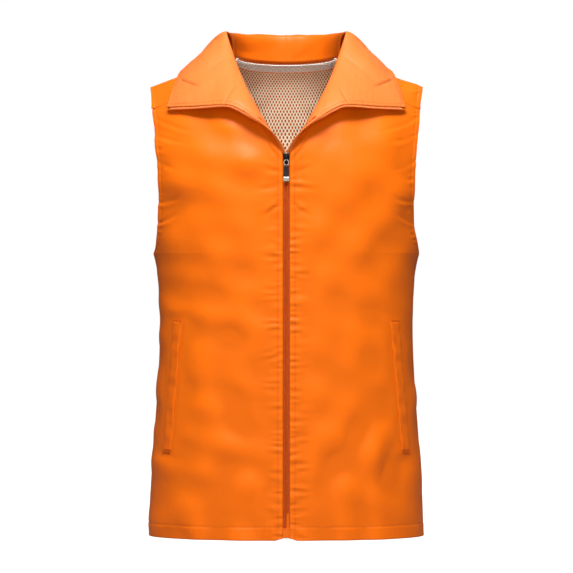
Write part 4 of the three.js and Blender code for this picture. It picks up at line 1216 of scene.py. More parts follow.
@dataclass
class Inside:
    """The mesh lining as a real net, with the facings, pocket bags and neck tape."""

    room: Workroom
    lining_depth: float = 4.3
    middle_depth: float = 2.5
    lining: Knit = Knit(5.85, 5.3, 0.62, 4.6, NET)
    neck_knit: Knit = Knit(4.5, 4.2, 0.56, 5.8, NECK_YARN, 0.1)
    lining_hem: float = 16.0
    facing_column: float = 0.13

    def net(
        self,
        name: str,
        form: Form,
        side: Side,
        reach: tuple[float, float, float, float],
        knit: Knit,
    ) -> bpy.types.Object:
        """A knitted net over the body's form, inside the shell.

        Its cells are diamonds in a brick pattern, each with a six-sided hole: four corners shared
        with its neighbours, six round the hole, and ten triangles between them.

        Args:
            name: the piece's name.
            form: the body's front or back.
            side: the side it is placed on.
            reach: lowest and highest column, then lowest and highest level.
            knit: the net's cells and depth.

        Returns:
            The net.
        """
        low_column, high_column, low_level, high_level = reach
        columns = np.linspace(low_column, high_column, 160)
        levels = np.linspace(low_level, high_level, 200)
        sample = body_cloth(form, columns, levels, side).inset(knit.depth)
        across = max(3, round(sample.width / knit.hole_pitch))
        up = max(3, round(sample.length / knit.row_pitch))
        i, j = np.meshgrid(np.arange(across), np.arange(up), indexing="ij")
        middle_u = (i + 0.5 + 0.5 * (j % 2)) / (across + 0.5)
        middle_v = (j + 1.0) / (up + 1.0)
        step_u, step_v = 0.5 / (across + 0.5), 1.0 / (up + 1.0)
        corner = np.array([[1, 0], [0, 1], [-1, 0], [0, -1]], dtype=float)
        hole_angle = np.radians([0, 60, 120, 180, 240, 300])
        hole = np.stack([np.cos(hole_angle), np.sin(hole_angle) * knit.hole_height], -1) * knit.opening
        local = np.concatenate([corner, hole])
        u = middle_u[..., None] + local[:, 0] * step_u
        v = middle_v[..., None] + local[:, 1] * step_v
        inside = (u.min(-1) >= -1e-9) & (u.max(-1) <= 1 + 1e-9)
        u, v = u[inside], np.clip(v[inside], 0, 1)
        column = lerp(low_column, high_column, np.clip(u, 0, 1))
        share = np.linspace(0, 1, 500)
        middle_column = lerp(low_column, high_column, 0.72)
        curve = form(np.full(500, middle_column), lerp(low_level, high_level, share))
        run = arc(curve, 0)
        rise = np.interp(v * run[-1], run, share)
        place = form(column, lerp(low_level, high_level, rise))
        normal = self.lookup_normal(sample, np.clip(u, 0, 1), rise)
        wobble = knit.wobble * Ripples(5, 26.0)(place[..., 0], place[..., 2])
        points = side.place(place) - normal * (knit.depth + wobble)[..., None]
        first_half = [[0, 1, 5], [0, 5, 4], [1, 6, 5], [1, 2, 6], [2, 7, 6]]
        second_half = [[2, 8, 7], [2, 3, 8], [3, 9, 8], [3, 0, 9], [0, 4, 9]]
        pattern = np.array(first_half + second_half)
        faces = (np.arange(len(u))[:, None, None] * 10 + pattern).reshape(-1, 3)
        flat = points.reshape(-1, 3)
        edge_a = flat[faces[:, 1]] - flat[faces[:, 0]]
        edge_b = flat[faces[:, 2]] - flat[faces[:, 0]]
        facing = (np.cross(edge_a, edge_b) * -normal.reshape(-1, 3)[faces[:, 0]]).sum(-1).mean()
        if facing < 0:
            faces = faces[:, ::-1]
        return self.room.build(name, flat, [faces], knit.yarn)

    def lookup_normal(self, sample: Cloth, column: Array, row: Array) -> Array:
        """Normals of a sampled cloth at fractional places, from the nearest sample."""
        columns, rows = sample.across.shape
        i = np.clip(np.rint(column * (columns - 1)).astype(int), 0, columns - 1)
        j = np.clip(np.rint(row * (rows - 1)).astype(int), 0, rows - 1)
        return sample.normals[i, j]

    def linings(self) -> None:
        """The three nets: the back and the two fronts, each attached to the vest."""
        low_level = self.lining_hem / BODY.underarm_z
        levels = np.linspace(low_level, 2.0, 160)
        reach = (-1.0, 1.0, low_level, 2.0)
        back = self.net("back_lining_net", BODY.back, Side.LEFT, reach, self.lining)
        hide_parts("mesh_lining_back")
        plain = body_cloth(BODY.back, np.linspace(-1, 1, 80), levels, Side.LEFT)
        self.declare_net(back)
        for side in Side:
            reach = (self.facing_column, 1.0, low_level, 2.0)
            net = self.net(f"front_lining_net_{side.word}", BODY.front, side, reach, self.lining)
            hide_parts(f"mesh_lining_front_{side.word}")
            plain = body_cloth(BODY.front, np.linspace(self.facing_column, 1, 60), levels, side)
            self.declare_net(net)

    def declare_net(self, net: bpy.types.Object) -> None:
        """Attaches a net to the vest; the areas of its faces are read but not used."""
        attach(net, "vest")
        faces = np.empty(len(net.data.polygons), dtype=np.float32)
        net.data.polygons.foreach_get("area", faces)

    def strip(
        self,
        node: str,
        form: Form,
        side: Side,
        columns: Array,
        levels: Array,
        depth: float,
        finish: Finish = INSIDE_CLOTH,
    ) -> Cloth:
        """A layer inside the shell over part of the form, in place of a frame node.

        Args:
            node: the frame node.
            form: the body's front or back.
            side: the side it is placed on.
            columns: its columns on the form.
            levels: its levels on the form.
            depth: how deep it lies inside the form.
            finish: its cloth.

        Returns:
            Its surface.
        """
        plain = body_cloth(form, columns, levels, side)
        cloth = plain.inset(depth)
        piece = cloth.sheet(self.room, f"{node}_cloth", finish, 0.6)
        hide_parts(node)
        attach(piece, "vest")
        held_by = "back_panel" if form == BODY.back else f"front_panel_{side.word}"
        cloth.declare(piece, "stretched", [held_by])
        return cloth

    def facings(self) -> None:
        """Front facings behind the zip, armhole facings and pocket bags."""
        low_level = self.lining_hem / BODY.underarm_z
        for side in Side:
            columns = column_places(BODY.front, 0.7, 0.006, self.facing_column + 0.01, 3.0, 3.0)
            levels = level_places(BODY.front, 0.0, low_level, YOKE_LEVEL, 4.0, 4.0)
            word = side.word
            depth = self.lining_depth + 0.05
            facing = self.strip(f"front_facing_{word}", BODY.front, side, columns, levels, depth)
            points, normals = facing.seam("end", 2.0)
            seam = (points, -normals)
            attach(sew(self.room, f"facing_stitching_{word}", [seam], Stitch()), "vest")
            for face, form in (("front", BODY.front), ("back", BODY.back)):
                columns = column_places(form, 1.4, 0.9, 1.0, 3.0, 3.0)
                levels = level_places(form, 0.95, 1.0, 1.985, 4.0, 4.0)
                node = f"armhole_facing_{face}_{word}"
                self.strip(node, form, side, columns, levels, self.middle_depth)
            columns = column_places(BODY.front, 0.5, 0.5, 0.81, 4.0, 4.0)
            levels = np.linspace(1 / 9, 7 / 9, 60)
            depth = self.middle_depth
            self.strip(f"pocket_bag_{word}", BODY.front, side, columns, levels, depth, BAG_CLOTH)

    def neck_tape(self) -> None:
        """The white knitted tape that covers the neck seam, edged below with a row of thick stitches."""
        reach = (-0.4, 0.4, 1.955, 1.998)
        columns, levels = np.linspace(*reach[:2], 120), np.linspace(*reach[2:], 12)
        plain = body_cloth(BODY.back, columns, levels, Side.LEFT)
        band = self.net("back_neck_tape_net", BODY.back, Side.LEFT, reach, self.neck_knit)
        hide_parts("back_neck_tape")
        self.declare_net(band)
        cloth = plain.inset(self.neck_knit.depth)
        points, normals = cloth.seam("bottom", 0.2)
        edging = sew(self.room, "neck_tape_edging", [(points, -normals)], Stitch(3.0, 2.7, 0.7, 0.1))
        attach(edging, "vest")
        loops = Stitch(pitch=3.0, length=2.9, radius=0.75, sink=0.2)
        seams = []
        for share in (0.42, 0.95):
            points, normals = cloth.seam("bottom", cloth.length * share)
            seams.append((points - normals * 0.5, -normals))
        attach(sew(self.room, "neck_tape_loops", seams, loops, NECK_YARN), "vest")

    def make(self) -> None:
        """Builds everything inside the shell."""
        self.linings()
        self.facings()
        self.neck_tape()


# ---- Collar and wings ----------------------------------------------------------------------------


@dataclass(frozen=True)
class CollarForm:
    """The collar's and the wings' surfaces: curves from the neckline to the fold and on to the edge."""

    fold_nape: Place = (0.0, 85.0, 714.0)
    edge_nape: Place = (0.0, 118.0, 655.0)
    edge_shoulder: Place = (150.0, 5.0, 657.0)
    split: float = math.radians(70.0)
    fold_reach: float = 9.0
    fall_reach: float = 13.5
    stand_lean: float = 14.0
    bulge: float = 6.0
    edge_share: float = 0.35
    roll_standoff: float = 2.4
    coil_offset: float = 2.9
    chain_proud: float = 9.0
    chain_handle: float = 0.3
    chain_lead: float = 20.0
    coil_y: float = -125.4
    coil_x: float = 2.4
    strip_depth: float = 0.7
    wing_rows: tuple[tuple[float, ...], ...] = (
        (584.0, 46.0, 587.0, 19.5, 0.2, -1.0, 0.0, 0.0, -2.0, 0.0),
        (618.0, 65.0, 598.5, 22.6, 0.2, -1.0, 0.0, 0.0, -5.0, 0.0),
        (652.0, 84.0, 604.8, 25.4, 0.3, -1.0, 0.0, 0.0, -9.0, 0.0),
        (664.2, 126.0, 604.0, 16.5, 0.45, -1.0, 0.1, 0.0, -16.0, 0.0),
        (677.62, 167.0, 604.0, 10.5, 0.6, -0.8, 0.1, 0.0, -18.0, 0.0),
        (688.6, 158.0, 635.0, 10.1, 0.8, -0.6, 0.1, 2.0, -12.0, 4.0),
    )
    tip_row: int = 4
    corner_row: int = 7

    def around(self, nape: Array, shoulder: Array, angle: Array) -> Array:
        """Quarter ellipse from the nape to the shoulder."""
        s, c = np.sin(angle), np.cos(angle)
        x = shoulder[0] * s
        y = lerp(shoulder[1], nape[1], c)
        z = lerp(nape[2], shoulder[2], s**2)
        return np.stack([x, y, z], -1)

    def rows(self) -> Array:
        """Control rows of the wing: roll height, edge point, direction out of the fold and lift."""
        table = []
        for roll, x, z, standoff, *rest in self.wing_rows:
            y = float(BODY.front_y(np.array(x), np.array(z))) - standoff
            table.append([roll, x, y, z, *rest])
        end = self.around(np.array(self.edge_nape), np.array(self.edge_shoulder), np.array(self.split))
        table.append([700.8, *self.edge_shoulder, 1.0, -0.3, 0.0, 4.0, -4.0, 5.0])
        table.append([BODY.corner[2], *end, 1.0, 0.0, 0.0, 4.2, 0.0, 4.2])
        return np.array(table)

    def open_chain(
        self, share: Array, end: Array, onward: Array, end_away: Array, end_normal: Array
    ) -> tuple[Array, Array, Array]:
        """The chain's open end between the slider and the wing.

        Args:
            share: 0 at the slider to 1 at the wing.
            end: middle of the coil at the wing.
            onward: direction of the chain there.
            end_away: direction from the cloth to the free edge there.
            end_normal: outward normal there.

        Returns:
            Middles, directions away and normals.
        """
        top = np.array([self.coil_x, self.coil_y, BODY.v_point])
        rise = top + np.array([0.0, -self.chain_proud, self.chain_handle * (end[2] - top[2])])
        handle = end - onward * self.chain_lead
        t = share[:, None]
        middle = bezier(top, rise, handle, end, t)
        away = unit(lerp(np.array([-1.0, 0.0, 0.0]), end_away, t))
        normal = unit(lerp(np.array([0.0, -1.0, 0.0]), end_normal, t))
        return middle, away, normal

    def wing(self, rows: Array, across: Array) -> Array:
        """Points of the wing's middle surface at fractional rows and shares from roll to edge."""
        value = smooth_rows(self.rows(), rows, (self.tip_row,))
        roll, edge, out, lift = value[:, 0], value[:, 1:4], unit(value[:, 4:7]), value[:, 7:10]
        root = BODY.roll_point(roll)
        root[:, 1] -= self.roll_standoff * (1 - ramp(roll, 706, BODY.corner[2]))
        handle = lerp(edge, root, self.edge_share) + lift
        return patch(root, root + out * self.fall_reach, handle, edge, across)

    def lapel_foot(self, share: Array, across: Array, chain: tuple[Array, Array, Array]) -> Array:
        """The lapel's narrow foot, between the roll line and the open chain, from the slider up."""
        middle, away, normal = chain
        edge = middle - away * self.coil_offset - normal * self.strip_depth
        roll = lerp(BODY.v_point, self.wing_rows[0][0], share)
        root = BODY.roll_point(roll)
        root[:, 1] -= self.roll_standoff * share
        gap = np.linalg.norm(edge - root, axis=1, keepdims=True)
        reach = self.fall_reach * np.clip(gap / 16.0, 0, 1)
        handle = lerp(edge, root, self.edge_share) + np.array([0.0, -2.0, 0.0]) * share[:, None]
        out = unit(np.array([0.2, -1.0, 0.0]))
        return patch(root, root + out * reach, handle, edge, across)

    def back(self, angle: Array, place: Array) -> Array:
        """Points of the collar behind the neck; place runs 0 to 1 up the stand, 1 to 2 down the fall."""
        a = angle[:, None]
        fold = self.around(np.array(self.fold_nape), np.array(BODY.corner), angle)
        base = self.around(
            np.array([0.0, BODY.nape_y, BODY.nape_z]), np.array(BODY.neck), angle
        ) + np.array([0.0, 0.0, 0.6])
        out = np.concatenate([np.sin(a), np.cos(a), np.zeros_like(a)], 1)
        turned = angle * (self.split / (math.pi / 2))
        edge = self.around(np.array(self.edge_nape), np.array(self.edge_shoulder), turned)
        lift = unit(out + UP)
        handle = lerp(edge, fold, self.edge_share) + lift * self.bulge
        up, down = np.clip(place, 0, 1), np.clip(place - 1, 0, 1)
        stand = patch(base, base + UP * self.stand_lean, fold - out * self.fold_reach, fold, up)
        fall = patch(fold, fold + out * self.fall_reach, handle, edge, down)
        return np.where(place[None, :, None] <= 1, stand, fall)

    def stand_end(self, share: Array, across: Array) -> Array:
        """The stand's front end: from the neckline seam (across 0) to the roll line (across 1)."""
        seam_z = lerp(BODY.neck[2], BODY.cross_z, share)
        seam_x = BODY.front_inner_x(seam_z)
        seam = np.stack([seam_x, BODY.front_y(seam_x, seam_z), seam_z + 0.6], -1)
        roll = BODY.roll_point(lerp(BODY.corner[2], BODY.cross_z, share))
        return lerp(seam[:, None], roll[:, None], across[None, :, None])


COLLAR = CollarForm()


@dataclass
class Hinge:
    """The line that a wing turns about and the band of cloth beside it, kept as numbers; no piece turns
    or bends about it.
    """

    base: Place = (6.0, -125.0, 540.0)
    sideways: Place = (0.914, -0.017, -0.405)
    still: float = 5.0
    turned: float = 60.0

    def bend(self, room: Workroom, piece: bpy.types.Object, side: Side) -> None:
        """Bakes a piece's transform into its mesh; the piece is not bent."""
        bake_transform(piece)


@dataclass
class Chain:
    """Stations along one side of the zip: middle of the coil's face, direction away, outward normal."""

    middle: Array
    away: Array
    normal: Array

    def resampled(self, step: float) -> "Chain":
        """The same chain with stations at an even step."""
        run = arc(self.middle, 0)
        at = np.linspace(0, run[-1], max(2, round(run[-1] / step) + 1))
        middle, away, normal = (read_along(run, v, at) for v in (self.middle, self.away, self.normal))
        return Chain(middle, unit(away), unit(normal))

    def cut(self, low: float, high: float) -> "Chain":
        """The stretch between two shares of the list."""
        n = len(self.middle)
        part = slice(int(low * (n - 1)), int(high * (n - 1)) + 1)
        return Chain(self.middle[part], self.away[part], self.normal[part])


@dataclass
class Collar:
    """Collar back, stand ends and the two wings with their zip edges."""

    room: Workroom
    hinge: Hinge
    thickness: float = 2.3
    edge_stitch: float = 5.0
    chains: dict[Side, Chain] = field(default_factory=dict)

    def wing_rumple(self, cloth: Cloth, side: Side) -> Array:
        """Heights of a wing's creases: drag lines from the roll, a short tuck near the shoulder."""
        p = cloth.points
        x, z = np.abs(p[..., 0]), p[..., 2]
        seed = 103 if side is Side.LEFT else 131
        from_roll = cloth.along
        from_edge = cloth.along[:, -1:] - cloth.along
        inside = ramp(from_roll, 2, 18) * ramp(from_edge, 1, 10)
        height = 0.5 * Ripples(seed, 44.0, lean=0.5)(x + 0.5 * z, z - 0.5 * x) * inside
        height += 0.1 * Ripples(seed + 3, 13.0)(x, z) * inside
        height -= 2.6 * self.tuck_depth(cloth) + 0.9 * self.seam_depth(cloth)
        height -= 0.3 * ridge(from_edge - self.edge_stitch, 1.0)
        uneven = 2 * Ripples(seed + 7, 33.0)(x, z)
        height += 0.3 * np.sin(TAU * cloth.across / 8.5 + uneven) * ridge(from_edge - 2, 4.0)
        return height

    def line_depth(
        self, cloth: Cloth, start: tuple[float, float], end: tuple[float, float], width: float
    ) -> Array:
        """Groove of depth 1 along a straight line in the front view, fading towards its start.

        Args:
            cloth: the surface.
            start: where it fades out, as distance from the middle and height.
            end: where it is deepest.
            width: half width.

        Returns:
            Depths from 0 to 1.
        """
        a, b = np.array(start), np.array(end)
        q = np.stack([np.abs(cloth.points[..., 0]), cloth.points[..., 2]], -1) - a
        share = np.clip((q @ (b - a)) / ((b - a) @ (b - a)), 0, 1)
        off = np.linalg.norm(q - share[..., None] * (b - a), axis=-1)
        return ease(np.clip(share * 2, 0, 1)) * ridge(off, width)

    def tuck_depth(self, cloth: Cloth) -> Array:
        """The short tuck near the shoulder."""
        return self.line_depth(cloth, (119.0, 630.0), (147.0, 642.5), 1.5)

    def seam_depth(self, cloth: Cloth) -> Array:
        """The seam between the lapel and the collar."""
        return self.line_depth(cloth, (68.0, 637.0), (85.0, 607.0), 1.1)

    def wing(self, side: Side) -> None:
        """One wing from the slider to the collar corner, with its zip edge's chain."""
        across = spaced((0.0, 0.2, 0.93, 1.0), (15, 45, 7))
        probe = COLLAR.wing(np.linspace(0, COLLAR.tip_row, 400), np.array([1.0]))[:, 0]
        low_rows = COLLAR.tip_row * evenly(probe, 1.6, 1.6)
        probe = COLLAR.wing(np.linspace(COLLAR.tip_row, COLLAR.corner_row, 400), np.array([1.0]))[:, 0]
        above = COLLAR.corner_row - COLLAR.tip_row
        high_rows = COLLAR.tip_row + above * evenly(probe, 1.6, 1.6)
        rows = np.concatenate([low_rows, high_rows[1:]])
        upper = COLLAR.wing(rows, across)
        left = Cloth(upper, np.array([0.2, -1.0, 0.35]))
        tip = len(low_rows)
        edge = upper[:tip, -1]
        normal = left.normals[:tip, -1]
        tangent = unit(np.gradient(edge, axis=0))
        away = unit(np.cross(tangent, normal))
        inwards = upper[:tip, -6] - edge
        away *= -np.sign((away * inwards).sum(-1, keepdims=True))
        middle = edge + away * COLLAR.coil_offset + normal * COLLAR.strip_depth
        share = np.linspace(0.0, 1.0, 40)[:-1]
        foot_chain = COLLAR.open_chain(share, middle[0], unit(middle[3] - middle[0]), away[0], normal[0])
        foot = COLLAR.lapel_foot(np.maximum(share, 0.02), across, foot_chain)
        grid = np.concatenate([foot, upper])
        plain = side.cloth(grid, np.array([0.2, -1.0, 0.35]))
        cloth = plain.raised(self.wing_rumple(plain, side))
        taper = np.ones(len(grid))
        taper[: len(foot)] = lerp(0.35, 1.0, share)
        thick = self.thickness * np.broadcast_to(taper[:, None], cloth.across.shape)
        from_edge = plain.along[:, -1:] - plain.along
        # Painted shade: darker in the groove of the edge stitching, in the tuck and along the lapel
        # seam, where shade falls.
        painted_shading = (1 - 0.3 * ridge(from_edge - self.edge_stitch, 0.9)) * (1 - 0.5 * self.tuck_depth(plain))
        painted_shading = painted_shading * (1 - 0.25 * self.seam_depth(plain))
        word = side.word
        face = cloth.raised(thick / 2)
        piece = face.sheet(self.room, f"wing_{word}_cloth", LIT_COLLAR_CLOTH, thick, painted_shading)
        layers = ("lapel_facing", "lapel_shell", "top_collar", "under_collar")
        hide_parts(*(f"{layer}_{word}" for layer in layers))
        plain.declare(piece, "folded", [f"front_panel_{word}", f"front_yoke_{word}"])
        self.hinge.bend(self.room, piece, side)
        top = cloth.raised(np.full(cloth.across.shape, self.thickness / 2))
        stitched = slice(14, len(grid) - 4)
        line = top.seam("top", self.edge_stitch, stitched)
        stitching = sew(self.room, f"wing_{word}_stitching", [line], Stitch())
        self.hinge.bend(self.room, stitching, side)
        self.chains[side] = Chain(
            side.place(np.concatenate([foot_chain[0], middle])),
            side.place(np.concatenate([foot_chain[1], away])),
            side.place(np.concatenate([foot_chain[2], normal])),
        )

    def back(self, side: Side) -> None:
        """Half of the collar behind the neck: stand, fold and fall."""
        angle = np.linspace(0, math.pi / 2, 95)
        place = spaced((0.0, 0.8, 1.25, 2.0), (21, 21, 33))
        grid = COLLAR.back(angle, place)
        stand = place < 1
        outwards = np.where(stand[None, :, None], -np.array([0.0, 1.0, 0.0]), np.array([0.0, 1.0, 0.5]))
        plain = side.cloth(grid, np.broadcast_to(outwards, grid.shape))
        x, z = np.abs(plain.points[..., 0]), plain.points[..., 2]
        seed = 151 if side is Side.LEFT else 157
        from_edge = plain.along[:, -1:] - plain.along
        calm = ramp(plain.across, 0, 14) * ramp(plain.across[-1:] - plain.across, 0, 14)
        calm = calm * ramp(from_edge, 0, 10) * ramp(plain.along, 0, 10)
        height = 0.5 * Ripples(seed, 34.0)(x, z) * calm
        height -= 0.3 * ridge(from_edge - self.edge_stitch, 1.0)
        cloth = plain.raised(height)
        top = cloth.raised(np.full(cloth.across.shape, self.thickness / 2))
        word = side.word
        # Painted shade: the stand darkens towards its front ends, which lie in the wings' shade.
        shaded = 1 - 0.4 * ramp(angle, 0.75, 1.35)[:, None] * (1 - ramp(place, 0.9, 1.1))[None, :]
        piece = top.sheet(self.room, f"collar_back_{word}_cloth", SHELL, self.thickness, shaded)
        if side is Side.LEFT:
            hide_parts("top_collar_back", "under_collar_back")
        plain.declare(piece, "folded", ["back_panel", f"front_yoke_{word}"])
        self.hinge.bend(self.room, piece, side)
        line = top.seam("top", self.edge_stitch)
        stitching = sew(self.room, f"collar_back_{word}_stitching", [line], Stitch())
        self.hinge.bend(self.room, stitching, side)

    def stand_end(self, side: Side) -> None:
        """The stand's front end between the neckline and the roll line."""
        grid = COLLAR.stand_end(np.linspace(0.0, 0.97, 40), np.linspace(0, 1, 20))
        plain = side.cloth(grid, np.array([1.0, -0.4, 0.2]))
        cloth = plain.raised(np.full(plain.across.shape, 0.6))
        word = side.word
        piece = cloth.sheet(self.room, f"collar_stand_{word}_cloth", SHELL, 1.6)
        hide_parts(f"collar_stand_{word}")
        plain.declare(piece, "stretched", [f"front_yoke_{word}"])
        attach(piece, "vest")

    def make(self) -> None:
        """Builds the collar."""
        for side in Side:
            self.wing(side)
            self.back(side)
            self.stand_end(side)


# ---- Zip ------------------------------------------------------------------------------------------


@dataclass
class Zip:
    """Tapes, coils, stops, pin and box."""

    room: Workroom
    hinge: Hinge
    chains: dict[Side, Chain]
    coil_width: float = 3.0
    coil_thick: float = 2.1
    pitch: float = 1.35
    wire: float = 0.42
    closed_inner: float = 0.3
    tape_inner: float = 0.08
    tape_behind: float = 2.5
    retainer_top: float = 17.3
    pin_top: float = 38.3
    tape_outer: float = 16.0
    tape_foot: float = 3.4

    def coil(self, name: str, chain: Chain, phase: float, finish: Finish) -> bpy.types.Object:
        """A flattened helix of nylon wire along a chain: across by a cosine and deep by a sine."""
        fine = chain.resampled(self.pitch / 9)
        closed = np.abs(fine.middle[:, 0]) < COLLAR.coil_x + 0.01
        run = arc(fine.middle, 0)
        turn = TAU * (run / self.pitch + phase)
        wide = self.coil_width / 2
        inner = wide + (COLLAR.coil_x - wide - self.closed_inner) * closed
        reach = (wide + inner) / 2 - self.wire
        centre = (inner - wide) / 2
        deep = self.coil_thick / 2 - self.wire
        squared = np.tanh(1.7 * np.cos(turn)) / math.tanh(1.7)
        path = (
            fine.middle
            + fine.away * (centre + reach * squared)[:, None]
            + fine.normal * (deep * np.sin(turn) - self.coil_thick / 2)[:, None]
        )
        radius = np.full(len(path), self.wire)
        radius[[0, -1]] = self.wire * 0.3
        forward = unit(np.gradient(fine.middle, axis=0))
        return tube(self.room, name, path, radius, 5, finish, forward + 0.35 * fine.away)

    def tape(self, name: str, chain: Chain, reach: Array, free: float) -> tuple[bpy.types.Object, Cloth]:
        """The woven tape behind a coil.

        Args:
            name: the piece's name.
            chain: its stations.
            reach: distance from the coil's middle to the tape's sewn edge at each station.
            free: distance to its free edge.

        Returns:
            The piece and its surface.
        """
        share = np.linspace(0, 1, 9)
        distance = lerp(-reach[:, None], np.full_like(reach, free)[:, None], share[None, :])
        grid = chain.middle[:, None] + chain.away[:, None] * distance[..., None]
        grid = grid - chain.normal[:, None] * self.tape_behind
        cloth = Cloth(grid, chain.normal[:, None])
        return cloth.sheet(self.room, name, TAPE_CLOTH, 0.6), cloth

    def closed_chain(self, side: Side, bottom: float) -> Chain:
        """The straight stretch from the foot of the zip to the slider."""
        z = np.linspace(bottom, BODY.v_point, 240)
        ones = np.ones_like(z)
        middle = np.stack([ones * COLLAR.coil_x, ones * COLLAR.coil_y, z], -1)
        away = np.stack([-ones, 0 * ones, 0 * ones], -1)
        normal = np.stack([0 * ones, -ones, 0 * ones], -1)
        return Chain(side.place(middle), side.place(away), side.place(normal))

    def make(self) -> None:
        """Builds both sides of the zip, and gives the stops and the foot's pin and box their finishes.
        """
        for side in Side:
            word = side.word
            bottom = self.pin_top if side is Side.LEFT else self.retainer_top
            closed = self.closed_chain(side, bottom)
            phase = 0.0 if side is Side.LEFT else 0.5
            lower = self.coil(f"zip_coil_{word}_nylon", closed, phase, COIL)
            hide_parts(f"zip_coil_{word}")
            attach(lower, "vest")
            tape_chain = self.closed_chain(side, self.tape_foot)
            z = tape_chain.middle[:, 2]
            outer = lerp(self.tape_outer - COLLAR.coil_x, 2.5, ramp(z, BODY.v_point - 8, BODY.v_point))
            free = COLLAR.coil_x - self.tape_inner
            tape, cloth = self.tape(f"zip_tape_{word}_cloth", tape_chain, outer, free)
            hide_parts(f"zip_tape_{word}")
            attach(tape, "vest")
            cloth.declare(tape, "stretched", [f"front_panel_{word}"])
            whole = self.chains[side]
            count = len(whole.middle)
            ended = whole.cut(0.0, 1.0 - 5.0 / 190.0)
            coil = self.coil(f"zip_coil_wing_{word}_nylon", ended, 0.25, LIT_WING_COIL)
            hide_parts(f"zip_coil_wing_{word}")
            self.hinge.bend(self.room, coil, side)
            run = np.linspace(0, 1, count)
            reach = lerp(2.5, 7.5, ramp(run, 0.0, 0.22))
            free = self.coil_width / 2 - 0.2
            band, cloth = self.tape(f"zip_tape_wing_{word}_cloth", whole, reach, free)
            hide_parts(f"zip_tape_wing_{word}")
            cloth.declare(band, "stretched", [f"wing_{word}_cloth"])
            self.hinge.bend(self.room, band, side)
            self.dress(f"zip_stop_{word}", TAPE_END)
        for node in ("insertion_pin", "retainer_box"):
            self.dress(node, PAINTED)

    def dress(self, node: str, finish: Finish) -> None:
        """Gives a frame node its finish."""
        obj = bpy.data.objects[node]
        obj.data.materials.clear()
        obj.data.materials.append(self.room.finish(finish))


# ---- Slider and pull -------------------------------------------------------------------------------


@dataclass(frozen=True)
class Station:
    """One level section of a small moulded piece: height, middle depth, half width and thickness."""

    z: float
    y: float
    half_width: float
    half_thick: float


